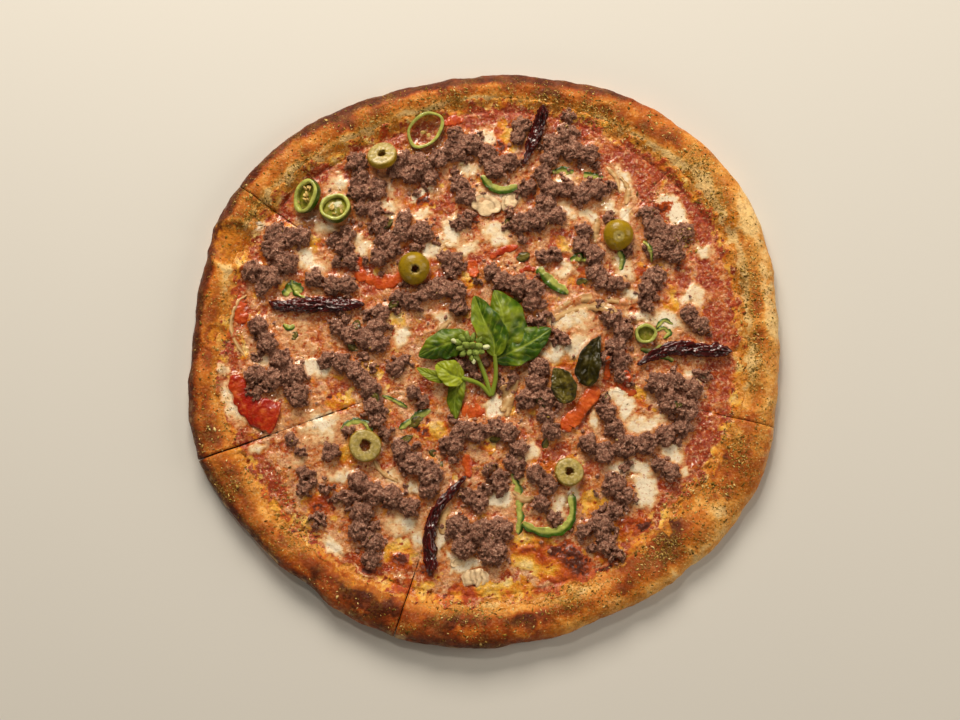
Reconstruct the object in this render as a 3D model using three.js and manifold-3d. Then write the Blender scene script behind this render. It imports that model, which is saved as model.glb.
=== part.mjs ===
// A baked pizza, about 300 mm across, cut into five slices that still lie together.
//
// Each slice is a wedge of dough with a raised, rounded rim, and a sheet of melted cheese on its flat middle.
// On top lie heaps of crumbled beef, olive slices, dried and fresh chillies, pepper strips, mushroom, onion,
// wilted basil leaves and, in the middle, a fresh basil sprig. Every piece is a closed solid of its own, and
// each topping comes to rest just above whatever lies beneath it.
//
// Millimetres and degrees. +Z is up, and the origin is on the table under the middle of the pizza. +Y is the
// side of the pizza with the upright dried chilli, and +X the side with the broadest pale rim.

import * as THREE from "three";
import { mergeVertices } from "three/addons/utils/BufferGeometryUtils.js";
import Module from "manifold-3d";

const wasm = await Module();
wasm.setup();

// ---- Driving dimensions -------------------------------------------------------------------------

// How far the outer edge lies from the middle, at its highs and lows round the pizza: [direction, distance].
const EDGE = [
  [0, 150.5], [36, 159.5], [102, 146], [144, 155.8], [172, 150],
  [198, 155.3], [231, 146.8], [252, 148.8], [291, 144.9], [336, 153.8],
];
// How wide the raised rim is, from the outer edge to the start of the topping.
const RIM_WIDTH = [
  [0, 23], [45, 25], [92, 18.5], [125, 24.5], [180, 19],
  [200, 25], [216, 21], [262, 26], [295, 24], [322, 32],
];
const RIM_HEIGHT = 14; // at its crest, above the table
const RIM_HEIGHT_SWING = 1.3; // how far the crest rises and falls round the pizza
const BASE_THICKNESS = 5; // dough under the topping
const CHEESE_THICKNESS = 2.3;
const CHEESE_SWING = 0.35; // how far the cheese's surface rises and falls
const CUTS = [45.7, 144.9, 199.5, 251.8, 346.6]; // directions of the cuts from the middle
const CUT_WIDTH = 0.9;
const ARC_STEP = 7; // of the pizza's facets round its middle
const GAP = 0.4; // left between one piece and the next
const SMALLEST_STEP = 0.2; // detail that is smoothed away where pieces are joined

const FINISHES = {
  crust: { color: 0xc88a4c, roughness: 0.75 },
  cheese: { color: 0xe8b878, roughness: 0.4 },
  beef: { color: 0x6a4c42, roughness: 0.8 },
  olive: { color: 0xa8a04c, roughness: 0.35 },
  dried_chilli: { color: 0x3c0e12, roughness: 0.25 },
  green_chilli: { color: 0x5c8a2c, roughness: 0.35 },
  red_pepper: { color: 0xc03418, roughness: 0.35 },
  onion: { color: 0xc8b088, roughness: 0.3 },
  mushroom: { color: 0xdcc49c, roughness: 0.6 },
  basil: { color: 0x3f7a24, roughness: 0.5 },
  wilted_basil: { color: 0x27301c, roughness: 0.55 },
};

const LUMP_SIDES = 5;
// Heaps of crumbled beef. Each is a run of touching lumps: [x, y, radius].
const BEEF_HEAPS = [
  [[-66.5, 102, 6.5], [-65, 93, 6], [-65.5, 87, 7], [-56, 88, 6.5], [-64.5, 78, 4], [-58, 77, 6],
    [-54, 69, 5.5], [-52, 61, 6], [-48, 57, 5.5], [-55, 53, 6], [-43.5, 65, 6.5], [-42, 72, 5],
    [-33, 65.5, 7]],
  [[-46, 97, 6], [-38, 95, 6], [-42, 103, 6], [-33, 101, 7], [-28, 94, 5], [-24, 104, 6], [-16, 108, 7],
    [-15, 116, 5.5], [-7, 111, 6.5], [1, 106, 6], [5, 99, 7], [12.5, 102, 6]],
  [[-109, 65, 6], [-102, 62, 6], [-110, 57, 7], [-103, 50, 7], [-95, 64, 6],
    [-120, 45, 6.5], [-111, 42.5, 7], [-115, 36.5, 4.5]],
  [[-71.5, 65, 5], [-73, 58, 5.5], [-70, 51, 5]],
  [[-88, 42, 6], [-79, 38, 6], [-71, 38, 5.5]],
  [[-76, 17, 5.5], [-70, 12, 5.5], [-62, 11, 6.5], [-55, 8, 6.5], [-56, 16, 6.5], [-54, 24, 5.5]],
  [[-45, 31, 5], [-38, 29.5, 5.5], [-31, 34, 5.5], [-24, 37, 6.5], [-15, 35, 6.5], [-14, 26, 5.5]],
  [[-14, 91, 5.5], [-10, 84, 6]],
  [[43, 117, 6.5], [35, 111, 6.5], [45, 108, 6.5], [54, 106, 6], [33, 103.5, 5], [30, 96, 5.5],
    [33, 88, 6], [31, 80, 6], [28, 73, 7], [19, 70, 6.5], [37, 74, 5.5], [42, 88, 5.5], [50, 85, 6.5],
    [58, 88, 6]],
  [[18.5, 121.5, 5], [16.5, 115, 4.5]],
  [[88, 67, 7.5], [96, 62, 8], [88, 57, 7], [103, 66, 5.5], [98, 54, 5.5], [83, 75, 5]],
  [[51, 66, 5], [49.5, 59, 5.5], [56, 53.5, 6], [57, 45, 6], [59, 40, 5.5], [67, 38.5, 5]],
  [[88, 43, 6], [83, 36, 5.5], [83, 28, 5]],
  [[105, 23, 6], [111, 17, 5.5]],
  [[3, 45, 5], [9, 40, 6.5], [17, 38, 7], [25, 36, 6], [23.5, 29, 5.5]],
  [[65, 21, 6.5], [71, 14, 6], [67, 6, 6.5], [69.5, -1, 6], [70, -8, 5]],
  [[28, -4, 6], [26, -13, 6.5], [21, -21, 6.5], [31, -20, 6], [31, -29, 5.5], [34, -37, 6]],
  [[88, -13, 7], [97, -12, 6.5], [95, -22, 7.5], [106, -15.5, 6.5], [104, -26, 6.5], [101, -35, 6],
    [92, -39.5, 6.5], [82.5, -43.5, 6.5], [72, -45, 7.5], [66, -36, 6], [62, -27, 6], [61.5, -48, 6.5],
    [52.5, -44, 6]],
  [[66, -64, 7], [71, -70, 6], [66, -78, 5.5], [59, -85, 7.5], [50, -88, 5], [61, -94, 6]],
  [[88.5, -54, 4.5], [95, -58, 5.5]],
  [[5, -35, 6], [12, -38, 6], [17, -46, 6], [14, -54, 5], [-4, -38, 6], [-12, -37, 6.5], [-16, -44, 6]],
  [[26, -59, 5.5], [32, -65, 6], [29, -74, 5.5]],
  [[-14, -86, 8], [-11, -96, 7.5], [-1, -89, 8.5], [8, -88, 8], [4, -99, 8.5]],
  [[-117, 17, 6], [-112, 8, 6.5], [-105, 0, 6.5], [-98, -8, 7], [-96, -19, 7], [-109, -10, 7],
    [-118, -8.5, 6.5]],
  [[-74, -2, 6], [-67, -6, 6], [-63, -11, 5], [-59, -15, 6.5], [-57, -24, 6.5], [-56, -32, 5]],
  [[-43, -46, 6], [-36, -54, 7], [-28, -59, 7.5], [-29, -67, 6]],
  [[-65, -63, 6], [-57, -69, 7], [-48, -71, 7], [-39, -76, 6], [-63, -78.5, 7], [-65, -88, 6],
    [-58, -94, 6.5], [-58, -103, 6]],
];

// Olive slices. A ring has two flat faces, and an end is the olive's rounded tip. Each leans over by tilt,
// towards the direction lean.
const OLIVES = [
  { at: [-52.8, 103.2], radius: 7.6, hole: 2.2, end: false, tilt: 30, lean: 100 },
  { at: [-36.8, 46.9], radius: 8.2, hole: 2.3, end: true, tilt: 16, lean: -55 },
  { at: [68.5, 64.4], radius: 7.8, hole: 1.8, end: true, tilt: 14, lean: -90 },
  { at: [-61.7, -44.6], radius: 8.3, hole: 3.2, end: false, tilt: 4, lean: 20 },
  { at: [42.7, -58.4], radius: 7.3, hole: 2.3, end: false, tilt: 9, lean: 60 },
];
const OLIVE_THICKNESS = 4.6;
const OLIVE_END_THICKNESS = 6.9;
const OLIVE_SIDES = 11;

// Dried chillies: the line each follows from its stalk end to its tip, and its radius at both and between.
const DRIED_CHILLIES = [
  {
    line: [[-112, 29.5, 0], [-104, 27, 0.5], [-88, 28, 1], [-75, 27, 1], [-62, 28.5, 0]],
    radii: [2.2, 3.6, 2.4],
  },
  {
    line: [[30, 131, 5], [28.5, 124, 1.5], [25.5, 115, 0], [22.5, 108, 0], [20, 101, 0]],
    radii: [2.2, 3.1, 1.3],
  },
  {
    line: [[127, 4, 0.5], [117, 4, 1], [106, 5, 0.5], [94, 5, 0], [85, 1, 0], [78, -3.5, 0]],
    radii: [3, 3.4, 1.6],
  },
  {
    line: [
      [-28.5, -111, 0], [-28, -101, 0.5], [-28.5, -90, 1], [-26, -79, 1], [-19, -70, 0.5], [-10, -60, 0],
    ],
    radii: [3.2, 2.6, 1.5],
  },
];

const RING_SIDES = 12;
// Rings of fresh green chilli: half the oval's outer length and width, its wall, its height, the turn of its
// length about +Z, and its tilt, as for olives.
const CHILLI_RINGS = [
  { at: [-31.1, 118.8], half: [11, 8], wall: 1.5, height: 3.2, turn: 45, tilt: 9, lean: -75 },
  { at: [-90.7, 83.7], half: [9.3, 6.6], wall: 2, height: 5, turn: 65, tilt: 26, lean: 185 },
  { at: [-77.2, 76.8], half: [8.2, 7.4], wall: 2, height: 6, turn: 20, tilt: 13, lean: 95 },
  { at: [82.4, 12.8], half: [5.8, 5.2], wall: 1.7, height: 4.5, turn: 0, tilt: 0, lean: 0 },
];

// Strips of pepper and a sliver of onion: the line that each follows, its width at the start, middle and end
// of that line, and its thickness.
const STRIPS = {
  green_strip_1: {
    stuff: "green_chilli",
    line: [[-2, 95], [3, 89], [10, 87], [17, 90]],
    widths: [2, 3, 2],
    thick: 3,
  },
  green_strip_2: {
    stuff: "green_chilli",
    line: [[27, 47], [32, 41.5], [37, 37], [43, 34.5]],
    widths: [3, 4, 2.5],
    thick: 2.4,
  },
  green_strip_3: {
    stuff: "green_chilli",
    line: [[19, -84], [24, -87.5], [34, -89], [42, -86], [45, -78], [43.5, -69]],
    widths: [3, 3.4, 2],
    thick: 3,
  },
  red_pepper_1: {
    stuff: "red_pepper",
    line: [[-129, -8], [-124, -20], [-115, -28], [-106, -31]],
    widths: [4, 11, 15],
    thick: 2.4,
  },
  red_pepper_2: {
    stuff: "red_pepper",
    line: [[58, -15.5], [52, -22], [47, -29], [41, -35]],
    widths: [5, 6, 8],
    thick: 3,
  },
  onion: {
    stuff: "onion",
    line: [[34, 22], [42, 29], [52, 31.5], [62, 31], [75, 28]],
    widths: [1.5, 3.6, 1.5],
    thick: 1.6,
  },
};

// The mushroom slice: where its middle lies, which way its cap points, and its length along that way.
const MUSHROOM = { at: [2, 80], points: 200, length: 13, thick: 2.6 };

// Leaves: the midrib's line from base to tip, the width where the leaf is widest, and how far its edges lift.
const WILTED_LEAVES = [
  { rib: [[51.5, -14, 0], [53, -6, 3], [55, 4, 3.5], [60, 13, 0.5]], width: 13, lift: 0.3 },
  { rib: [[35, -5, 1], [38, -11, 3.5], [41, -16, 2.5], [40, -23, 0]], width: 13, lift: -0.4 },
];
const FRESH_LEAVES = [
  { rib: [[5, 1, 4], [3, 12, 6], [-3, 22, 7], [-6, 33, 4.5]], width: 13, lift: 0.35 },
  { rib: [[5.5, 1, 4], [8, 14, 7.5], [7, 24, 8], [4.5, 35, 5.5]], width: 14, lift: -0.3 },
  { rib: [[4.8, -1, 4], [13, 3, 6], [23, 8, 6], [33, 15, 3.5]], width: 18, lift: -0.2 },
  { rib: [[-7, 8, 4], [-15, 9, 6], [-24, 6, 6.5], [-34, 1, 3]], width: 15, lift: -0.25 },
  { rib: [[-10, -10, 3.5], [-16, -9, 5], [-24, -7, 5.5], [-36, -4, 4]], width: 12, lift: 0.3 },
  { rib: [[-11, -10, 3], [-14, -15, 4], [-15.5, -21, 3.5], [-15, -30, 1.5]], width: 8, lift: -0.3 },
];
const LEAF_THICKNESS = 0.9;
// Stems of the fresh sprig. The first ends in the head of buds.
const STEMS = [
  [[3, -19, 1], [0, -9, 2.5], [-6, 4, 5]],
  [[3, -19, 1], [5, -9, 2.5], [5, 2, 4.5]],
  [[3, -19, 1], [-3, -13, 2], [-12, -10, 3.8]],
];
const STEM_RADIUS = 1.1;
const BUD_HEAD = { at: [-8, 5, 5.5], half: [8, 4.6, 3.2], turn: 20 };

// ---- Ways of making a solid ---------------------------------------------------------------------

const WELD = 1e-3; // corners nearer than this are one corner
const radians = THREE.MathUtils.degToRad;
const mix = THREE.MathUtils.lerp;
const wrapped = (degrees) => THREE.MathUtils.euclideanModulo(degrees, 360);
const point = ([x, y, z = 0]) => new THREE.Vector3(x, y, z);

// A quantity that swings smoothly between the highs and lows given for some directions round the pizza.
function around(turns) {
  return (degrees) => {
    const next = Math.max(turns.findIndex(([at]) => at > wrapped(degrees)), 0);
    const [to, after] = turns[next];
    const [from, before] = turns.at(next - 1);
    const share = wrapped(degrees - from) / wrapped(to - from);
    return mix(before, after, THREE.MathUtils.smoothstep(share, 0, 1));
  };
}

// The triangles that fill a flat or nearly flat loop, as places in it.
function filled(loop) {
  const facing = new THREE.Vector3();
  loop.forEach((corner, i) => facing.add(corner.clone().cross(loop[(i + 1) % loop.length])));
  const turn = new THREE.Quaternion().setFromUnitVectors(facing.normalize(), new THREE.Vector3(0, 0, 1));
  const flat = loop.map((corner) => corner.clone().applyQuaternion(turn));
  return THREE.ShapeUtils.triangulateShape(flat.map(({ x, y }) => new THREE.Vector2(x, y)), []);
}

// A closed solid through a row of loops with the same number of corners. It has flat ends, unless the row is
// itself closed. Corners that coincide are merged, and the triangles that this flattens are left out.
function loft(loops, closed = false) {
  const corners = loops[0].length;
  const triangles = [];
  for (let row = 0; row < loops.length - (closed ? 0 : 1); row++) {
    const here = row * corners;
    const there = ((row + 1) % loops.length) * corners;
    for (let i = 0; i < corners; i++) {
      const j = (i + 1) % corners;
      triangles.push([here + i, here + j, there + j], [here + i, there + j, there + i]);
    }
  }
  if (!closed) {
    const last = (loops.length - 1) * corners;
    triangles.push(...filled(loops[0]).map(([a, b, c]) => [c, b, a]));
    triangles.push(...filled(loops.at(-1)).map(([a, b, c]) => [last + a, last + b, last + c]));
  }
  const loose = new THREE.BufferGeometry().setFromPoints(loops.flat()).setIndex(triangles.flat());
  return facingOut(mergeVertices(loose, WELD));
}

// The same geometry without collapsed triangles, and with its faces pointing out.
function facingOut(geometry) {
  const at = (i) => new THREE.Vector3().fromBufferAttribute(geometry.attributes.position, i);
  const kept = [];
  let volume = 0;
  for (let i = 0; i < geometry.index.count; i += 3) {
    const [a, b, c] = geometry.index.array.slice(i, i + 3);
    if (a === b || b === c || c === a) continue;
    kept.push([a, b, c]);
    volume += at(a).dot(at(b).cross(at(c)));
  }
  return geometry.setIndex((volume < 0 ? kept.map(([a, b, c]) => [c, b, a]) : kept).flat());
}

// The loops of a section carried along a line. The section's corners are given at each place from 0 to 1
// along it as [sideways, up].
function carried(line, steps, sectionAt) {
  const path = new THREE.CatmullRomCurve3(line.map(point));
  return Array.from({ length: steps + 1 }, (_, i) => {
    const along = path.getTangentAt(i / steps).setZ(0).normalize();
    const middle = path.getPointAt(i / steps);
    return sectionAt(i / steps).map(
      ([side, up]) => new THREE.Vector3(middle.x + along.y * side, middle.y - along.x * side, middle.z + up),
    );
  });
}

// A regular many-sided oval section.
const ovalSection = (sides, wide, high) =>
  Array.from({ length: sides }, (_, i) => {
    const way = (2 * Math.PI * i) / sides;
    return [wide * Math.cos(way), high * Math.sin(way)];
  });

// A value given at the start, middle and end of a line, at the place from 0 to 1 along it.
function alongLine([start, middle, end], place) {
  return place < 0.5 ? mix(start, middle, 2 * place) : mix(middle, end, 2 * place - 1);
}

function solidOf({ attributes, index }) {
  const bare = new THREE.BufferGeometry().setAttribute("position", attributes.position).setIndex(index);
  const merged = facingOut(mergeVertices(bare, WELD));
  const vertProperties = merged.attributes.position.array;
  const triVerts = new Uint32Array(merged.index.array);
  return new wasm.Manifold(new wasm.Mesh({ numProp: 3, vertProperties, triVerts }));
}

// One geometry for the union of several.
function joined(geometries) {
  const whole = geometries.map(solidOf).reduce((solid, piece) => solid.add(piece)).simplify(SMALLEST_STEP);
  const { vertProperties, triVerts } = whole.getMesh();
  return new THREE.BufferGeometry()
    .setAttribute("position", new THREE.BufferAttribute(vertProperties, 3))
    .setIndex(new THREE.BufferAttribute(triVerts, 1));
}

// ---- Laying one piece on another ----------------------------------------------------------------

const CELL = 0.4; // of the grid that holds the height of what has been laid so far
const CELLS_ACROSS = Math.ceil((2.2 * Math.max(...EDGE.map(([, distance]) => distance))) / CELL);
const UPRIGHT = 1e-6; // a triangle that covers no more than this, seen from above, stands upright
const tops = new Float32Array(CELLS_ACROSS * CELLS_ACROSS);

// Calls visit(cell, height) for each grid cell under each triangle of a mesh.
function eachCell(mesh, visit) {
  mesh.updateMatrixWorld(true);
  const { position } = mesh.geometry.attributes;
  const order = mesh.geometry.index?.array ?? Array.from({ length: position.count }, (_, i) => i);
  const placed = Array.from({ length: position.count }, (_, i) =>
    new THREE.Vector3().fromBufferAttribute(position, i).applyMatrix4(mesh.matrixWorld),
  );
  const cellOf = (v) => Math.round(v / CELL + CELLS_ACROSS / 2);
  for (let i = 0; i < order.length; i += 3) {
    const [a, b, c] = [placed[order[i]], placed[order[i + 1]], placed[order[i + 2]]];
    const area = (b.x - a.x) * (c.y - a.y) - (c.x - a.x) * (b.y - a.y);
    if (Math.abs(area) < UPRIGHT) continue;
    for (let col = cellOf(Math.min(a.x, b.x, c.x)); col <= cellOf(Math.max(a.x, b.x, c.x)); col++) {
      for (let row = cellOf(Math.min(a.y, b.y, c.y)); row <= cellOf(Math.max(a.y, b.y, c.y)); row++) {
        const x = (col - CELLS_ACROSS / 2) * CELL;
        const y = (row - CELLS_ACROSS / 2) * CELL;
        const shareB = ((x - a.x) * (c.y - a.y) - (c.x - a.x) * (y - a.y)) / area;
        const shareC = ((b.x - a.x) * (y - a.y) - (x - a.x) * (b.y - a.y)) / area;
        if (shareB < 0 || shareC < 0 || shareB + shareC > 1) continue;
        visit(row * CELLS_ACROSS + col, a.z + shareB * (b.z - a.z) + shareC * (c.z - a.z));
      }
    }
  }
}

const pizza = new THREE.Group();

// Adds a piece of the pizza to the group.
function add(name, stuff, geometry) {
  const mesh = new THREE.Mesh(geometry, new THREE.MeshStandardMaterial({ ...FINISHES[stuff], metalness: 0 }));
  mesh.name = name;
  pizza.add(mesh);
  return mesh;
}

// Records how high a piece reaches, for those laid on it later.
function cover(mesh) {
  eachCell(mesh, (cell, height) => {
    tops[cell] = Math.max(tops[cell], height);
  });
}

// Lowers or lifts a piece until it is a gap above what lies under it.
function lay(mesh) {
  const undersides = new Map();
  eachCell(mesh, (cell, height) => undersides.set(cell, Math.min(undersides.get(cell) ?? Infinity, height)));
  const clearance = Math.min(...Array.from(undersides, ([cell, height]) => height - tops[cell]));
  mesh.position.z += GAP - clearance;
  cover(mesh);
}

// Leans a mesh over by tilt degrees, towards the direction lean.
function tip(mesh, tilt, lean) {
  const hinge = new THREE.Vector3(-Math.sin(radians(lean)), Math.cos(radians(lean)), 0);
  mesh.rotateOnWorldAxis(hinge, radians(tilt));
}

// ---- Dough and cheese ---------------------------------------------------------------------------

const edgeAt = around(EDGE);
const rimWidthAt = around(RIM_WIDTH);
const crestAt = (degrees) => RIM_HEIGHT + RIM_HEIGHT_SWING * Math.sin(radians(3 * degrees + 40));

// The dough's outline in a slice upright through the middle, as [distance from the middle, height].
function doughOutline(degrees) {
  const edge = edgeAt(degrees);
  const width = rimWidthAt(degrees);
  const inner = edge - width;
  const crest = crestAt(degrees);
  return [
    [0, 0], [edge - 7, 0], [edge - 1.5, 1.6], [edge, 5.5], [edge - 3, 0.83 * crest],
    [edge - 0.42 * width, crest], [edge - 0.75 * width, 0.8 * crest], [inner, BASE_THICKNESS + 1.6],
    [inner - 7, BASE_THICKNESS], [0, BASE_THICKNESS],
  ];
}

// The cheese lies on the flat of the dough and thins out up the foot of the rim.
function cheeseOutline(degrees) {
  const inner = edgeAt(degrees) - rimWidthAt(degrees);
  const under = BASE_THICKNESS + GAP;
  const top = under + CHEESE_THICKNESS;
  const swing = CHEESE_SWING * Math.sin(radians(4 * degrees));
  return [
    [0, under], [inner - 7, under], [inner - 0.5, under + 1.6], [inner - 1.5, top + 0.6],
    [inner - 8, top + 0.3], [0.55 * inner, top + swing], [0, top],
  ];
}

// A wedge of the pizza between two cuts, moved out from the middle until half a cut's width is off each side.
function wedge(name, stuff, outlineAt, from, to) {
  const steps = Math.round((to - from) / ARC_STEP);
  const loops = Array.from({ length: steps + 1 }, (_, i) => {
    const degrees = mix(from, to, i / steps);
    const outward = new THREE.Vector3(Math.cos(radians(degrees)), Math.sin(radians(degrees)), 0);
    return outlineAt(degrees).map(([out, up]) => outward.clone().multiplyScalar(out).setZ(up));
  });
  const mesh = add(name, stuff, loft(loops));
  const middle = radians((from + to) / 2);
  const moved = CUT_WIDTH / 2 / Math.sin(radians((to - from) / 2));
  mesh.position.set(moved * Math.cos(middle), moved * Math.sin(middle), 0);
  cover(mesh);
}

CUTS.forEach((from, i) => {
  const to = i + 1 < CUTS.length ? CUTS[i + 1] : CUTS[0] + 360;
  wedge(`dough_slice_${i + 1}`, "crust", doughOutline, from, to);
  wedge(`cheese_slice_${i + 1}`, "cheese", cheeseOutline, from, to);
});

// ---- Toppings -----------------------------------------------------------------------------------

const outlineOf = (corners) => corners.map(([out, up]) => new THREE.Vector2(out, up));

// A low dome with a flat foot, a little different in height and turn from its neighbours.
function lump([x, y, radius], i) {
  const height = 0.5 * radius + 2.4 + 0.6 * Math.sin(7.3 * i + x);
  const outline = outlineOf([[0, 0], [radius, 0], [0.78 * radius, 0.8 * height], [0, height]]);
  return new THREE.LatheGeometry(outline, LUMP_SIDES)
    .rotateX(Math.PI / 2)
    .rotateZ(0.7 * i + 0.1 * y)
    .translate(x, y, 0);
}

BEEF_HEAPS.forEach((lumps, i) => lay(add(`beef_${i + 1}`, "beef", joined(lumps.map(lump)))));

Object.entries(STRIPS).forEach(([name, { stuff, line, widths, thick }]) => {
  const sectionAt = (place) => {
    const half = alongLine(widths, place) / 2;
    return [[-half, 0], [half, 0], [0.8 * half, thick], [-0.8 * half, thick]];
  };
  lay(add(name, stuff, loft(carried(line, 8, sectionAt))));
});

function mushroom({ at: [x, y], points, length, thick }) {
  const slice = new THREE.Shape()
    .moveTo(-0.5 * length, -0.13 * length)
    .lineTo(0, -0.16 * length)
    .lineTo(-0.02 * length, -0.45 * length)
    .quadraticCurveTo(0.5 * length, -0.4 * length, 0.5 * length, 0)
    .quadraticCurveTo(0.5 * length, 0.4 * length, -0.02 * length, 0.45 * length)
    .lineTo(0, 0.16 * length)
    .lineTo(-0.5 * length, 0.13 * length);
  return new THREE.ExtrudeGeometry(slice, { depth: thick, bevelEnabled: false, curveSegments: 5 })
    .rotateZ(radians(points))
    .translate(x, y, 0);
}
lay(add("mushroom", "mushroom", mushroom(MUSHROOM)));

CHILLI_RINGS.forEach(({ at: [x, y], half: [long, short], wall, height, turn, tilt, lean }, i) => {
  const outside = ovalSection(RING_SIDES, long, short);
  const inside = ovalSection(RING_SIDES, long - wall, short - wall);
  const loops = outside.map((corner, k) => [
    point([...corner, 0]),
    point([...corner, height]),
    point([...inside[k], height]),
    point([...inside[k], 0]),
  ]);
  const mesh = add(`chilli_ring_${i + 1}`, "green_chilli", loft(loops, true));
  mesh.position.set(x, y, 0);
  mesh.rotation.z = radians(turn);
  tip(mesh, tilt, lean);
  lay(mesh);
});

// Half of an olive slice's section, as [distance from its axis, height].
function ringSection(radius, hole) {
  const thick = OLIVE_THICKNESS;
  return [
    [hole, 0], [0.93 * radius, 0], [radius, 0.5 * thick], [0.93 * radius, thick], [hole, thick], [hole, 0],
  ];
}

function endSection(radius, hole) {
  const thick = OLIVE_END_THICKNESS;
  return [
    [hole, 0], [0.96 * radius, 0], [radius, 0.25 * thick], [0.8 * radius, 0.72 * thick],
    [0.45 * radius, 0.96 * thick], [hole, thick], [hole, 0],
  ];
}

OLIVES.forEach(({ at: [x, y], radius, hole, end, tilt, lean }, i) => {
  const section = outlineOf(end ? endSection(radius, hole) : ringSection(radius, hole));
  const slice = new THREE.LatheGeometry(section, OLIVE_SIDES).rotateX(Math.PI / 2);
  const mesh = add(`olive_${i + 1}`, "olive", slice);
  mesh.position.set(x, y, 0);
  tip(mesh, tilt, lean);
  lay(mesh);
});

DRIED_CHILLIES.forEach(({ line, radii }, i) => {
  const sectionAt = (place) => {
    const rounding = Math.min(1, 0.35 + 9 * place, 0.25 + 5 * (1 - place));
    const radius = rounding * alongLine(radii, place);
    return ovalSection(6, radius, 0.85 * radius);
  };
  lay(add(`dried_chilli_${i + 1}`, "dried_chilli", loft(carried(line, 9, sectionAt))));
});

// A leaf blade: widest a third of the way along, with a rib under its middle.
function leaf({ rib, width, lift }) {
  const sectionAt = (place) => {
    const half = Math.max(0.5, (width / 2) * Math.sin(Math.PI * place ** 0.75) ** 0.8);
    return [[-half, lift * half], [0, 0], [half, lift * half], [0, LEAF_THICKNESS]];
  };
  return loft(carried(rib, 5, sectionAt));
}

WILTED_LEAVES.forEach((blade, i) => lay(add(`wilted_basil_${i + 1}`, "wilted_basil", leaf(blade))));

function sprig() {
  const stems = STEMS.map((line) => loft(carried(line, 3, () => ovalSection(4, STEM_RADIUS, STEM_RADIUS))));
  const buds = new THREE.SphereGeometry(1, 7, 4)
    .scale(...BUD_HEAD.half)
    .rotateZ(radians(BUD_HEAD.turn))
    .translate(...BUD_HEAD.at);
  return joined([...stems, buds, ...FRESH_LEAVES.map(leaf)]);
}
lay(add("basil_sprig", "basil", sprig()));

// ---- The part's own frame -----------------------------------------------------------------------

const box = new THREE.Box3().setFromObject(pizza);
pizza.position.set(-(box.min.x + box.max.x) / 2, -(box.min.y + box.max.y) / 2, -box.min.z);

export default pizza;
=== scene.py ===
"""A baked pizza cut into five slices: crust, melted cheese and sauce, and every topping.

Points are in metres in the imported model's frame. Lists of places are in millimetres from MIDDLE, where the
cuts meet, with x to the right and y towards the upright dried chilli.
"""

import math
from contextlib import contextmanager

import bmesh
import bpy
import numpy as np
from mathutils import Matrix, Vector, noise
from mathutils.bvhtree import BVHTree


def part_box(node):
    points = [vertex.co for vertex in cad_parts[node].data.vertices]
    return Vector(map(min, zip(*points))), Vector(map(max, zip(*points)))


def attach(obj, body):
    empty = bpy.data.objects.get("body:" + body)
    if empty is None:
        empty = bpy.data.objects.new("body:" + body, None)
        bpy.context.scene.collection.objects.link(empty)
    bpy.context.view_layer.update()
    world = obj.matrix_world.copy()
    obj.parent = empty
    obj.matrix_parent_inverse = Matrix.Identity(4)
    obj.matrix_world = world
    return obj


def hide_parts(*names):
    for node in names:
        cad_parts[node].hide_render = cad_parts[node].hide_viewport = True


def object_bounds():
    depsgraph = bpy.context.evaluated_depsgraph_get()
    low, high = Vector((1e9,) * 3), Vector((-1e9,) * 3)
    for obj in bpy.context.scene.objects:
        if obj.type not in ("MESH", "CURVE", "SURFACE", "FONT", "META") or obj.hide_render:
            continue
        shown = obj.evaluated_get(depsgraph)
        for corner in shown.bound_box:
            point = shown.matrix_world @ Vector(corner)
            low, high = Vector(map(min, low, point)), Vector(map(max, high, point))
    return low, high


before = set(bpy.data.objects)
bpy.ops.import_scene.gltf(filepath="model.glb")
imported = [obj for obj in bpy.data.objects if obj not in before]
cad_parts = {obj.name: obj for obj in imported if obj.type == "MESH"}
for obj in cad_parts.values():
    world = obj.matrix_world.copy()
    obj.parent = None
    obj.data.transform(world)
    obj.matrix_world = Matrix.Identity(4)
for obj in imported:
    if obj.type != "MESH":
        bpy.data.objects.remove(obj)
CAD_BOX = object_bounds()
MM = 0.001
SLICES = range(1, 6)

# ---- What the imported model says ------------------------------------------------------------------


def read(mesh, what="co"):
    """What a mesh holds for its corners: where they are, or another three numbers for each."""
    flat = np.empty(3 * len(mesh.vertices))
    mesh.vertices.foreach_get(what, flat)
    return flat.reshape(-1, 3)


def corners_of(name):
    """A CAD node's corners."""
    return read(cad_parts[name].data)


def named(start):
    """The names of the CAD nodes that begin so."""
    return sorted(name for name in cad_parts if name.startswith(start))


def tree_of(objects):
    """A search tree of the faces of some objects."""
    bm = bmesh.new()
    for made in objects:
        bm.from_mesh(made.data)
    tree = BVHTree.FromBMesh(bm)
    bm.free()
    return tree


def cad_tree(names):
    """A search tree of the faces of some CAD nodes."""
    return tree_of(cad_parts[name] for name in names)


def met_below(tree, points):
    """What straight lines down through some points meet first: a place and a facing, or None."""
    above = CAD_BOX[1].z + 0.1
    down = Vector((0, 0, -1))
    return [tree.ray_cast(Vector((x, y, above)), down) for x, y in np.asarray(points)[:, :2].tolist()]


def heights(tree, points):
    """How high the faces in the tree lie at each point, or not a number where there are none."""
    return np.array([hit[0].z if hit[0] else np.nan for hit in met_below(tree, points)])


def laid(tree, points):
    """The points of a surface straight below some places, and which way it faces there."""
    hits = [hit for hit in met_below(tree, points) if hit[0]]
    return np.array([hit[0] for hit in hits]), np.array([hit[1] for hit in hits])


def polar(points):
    """The distance from MIDDLE and the direction in degrees of each point."""
    out = np.asarray(points)[..., :2] - MIDDLE
    return np.hypot(out[..., 0], out[..., 1]), np.degrees(np.arctan2(out[..., 1], out[..., 0])) % 360


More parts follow.
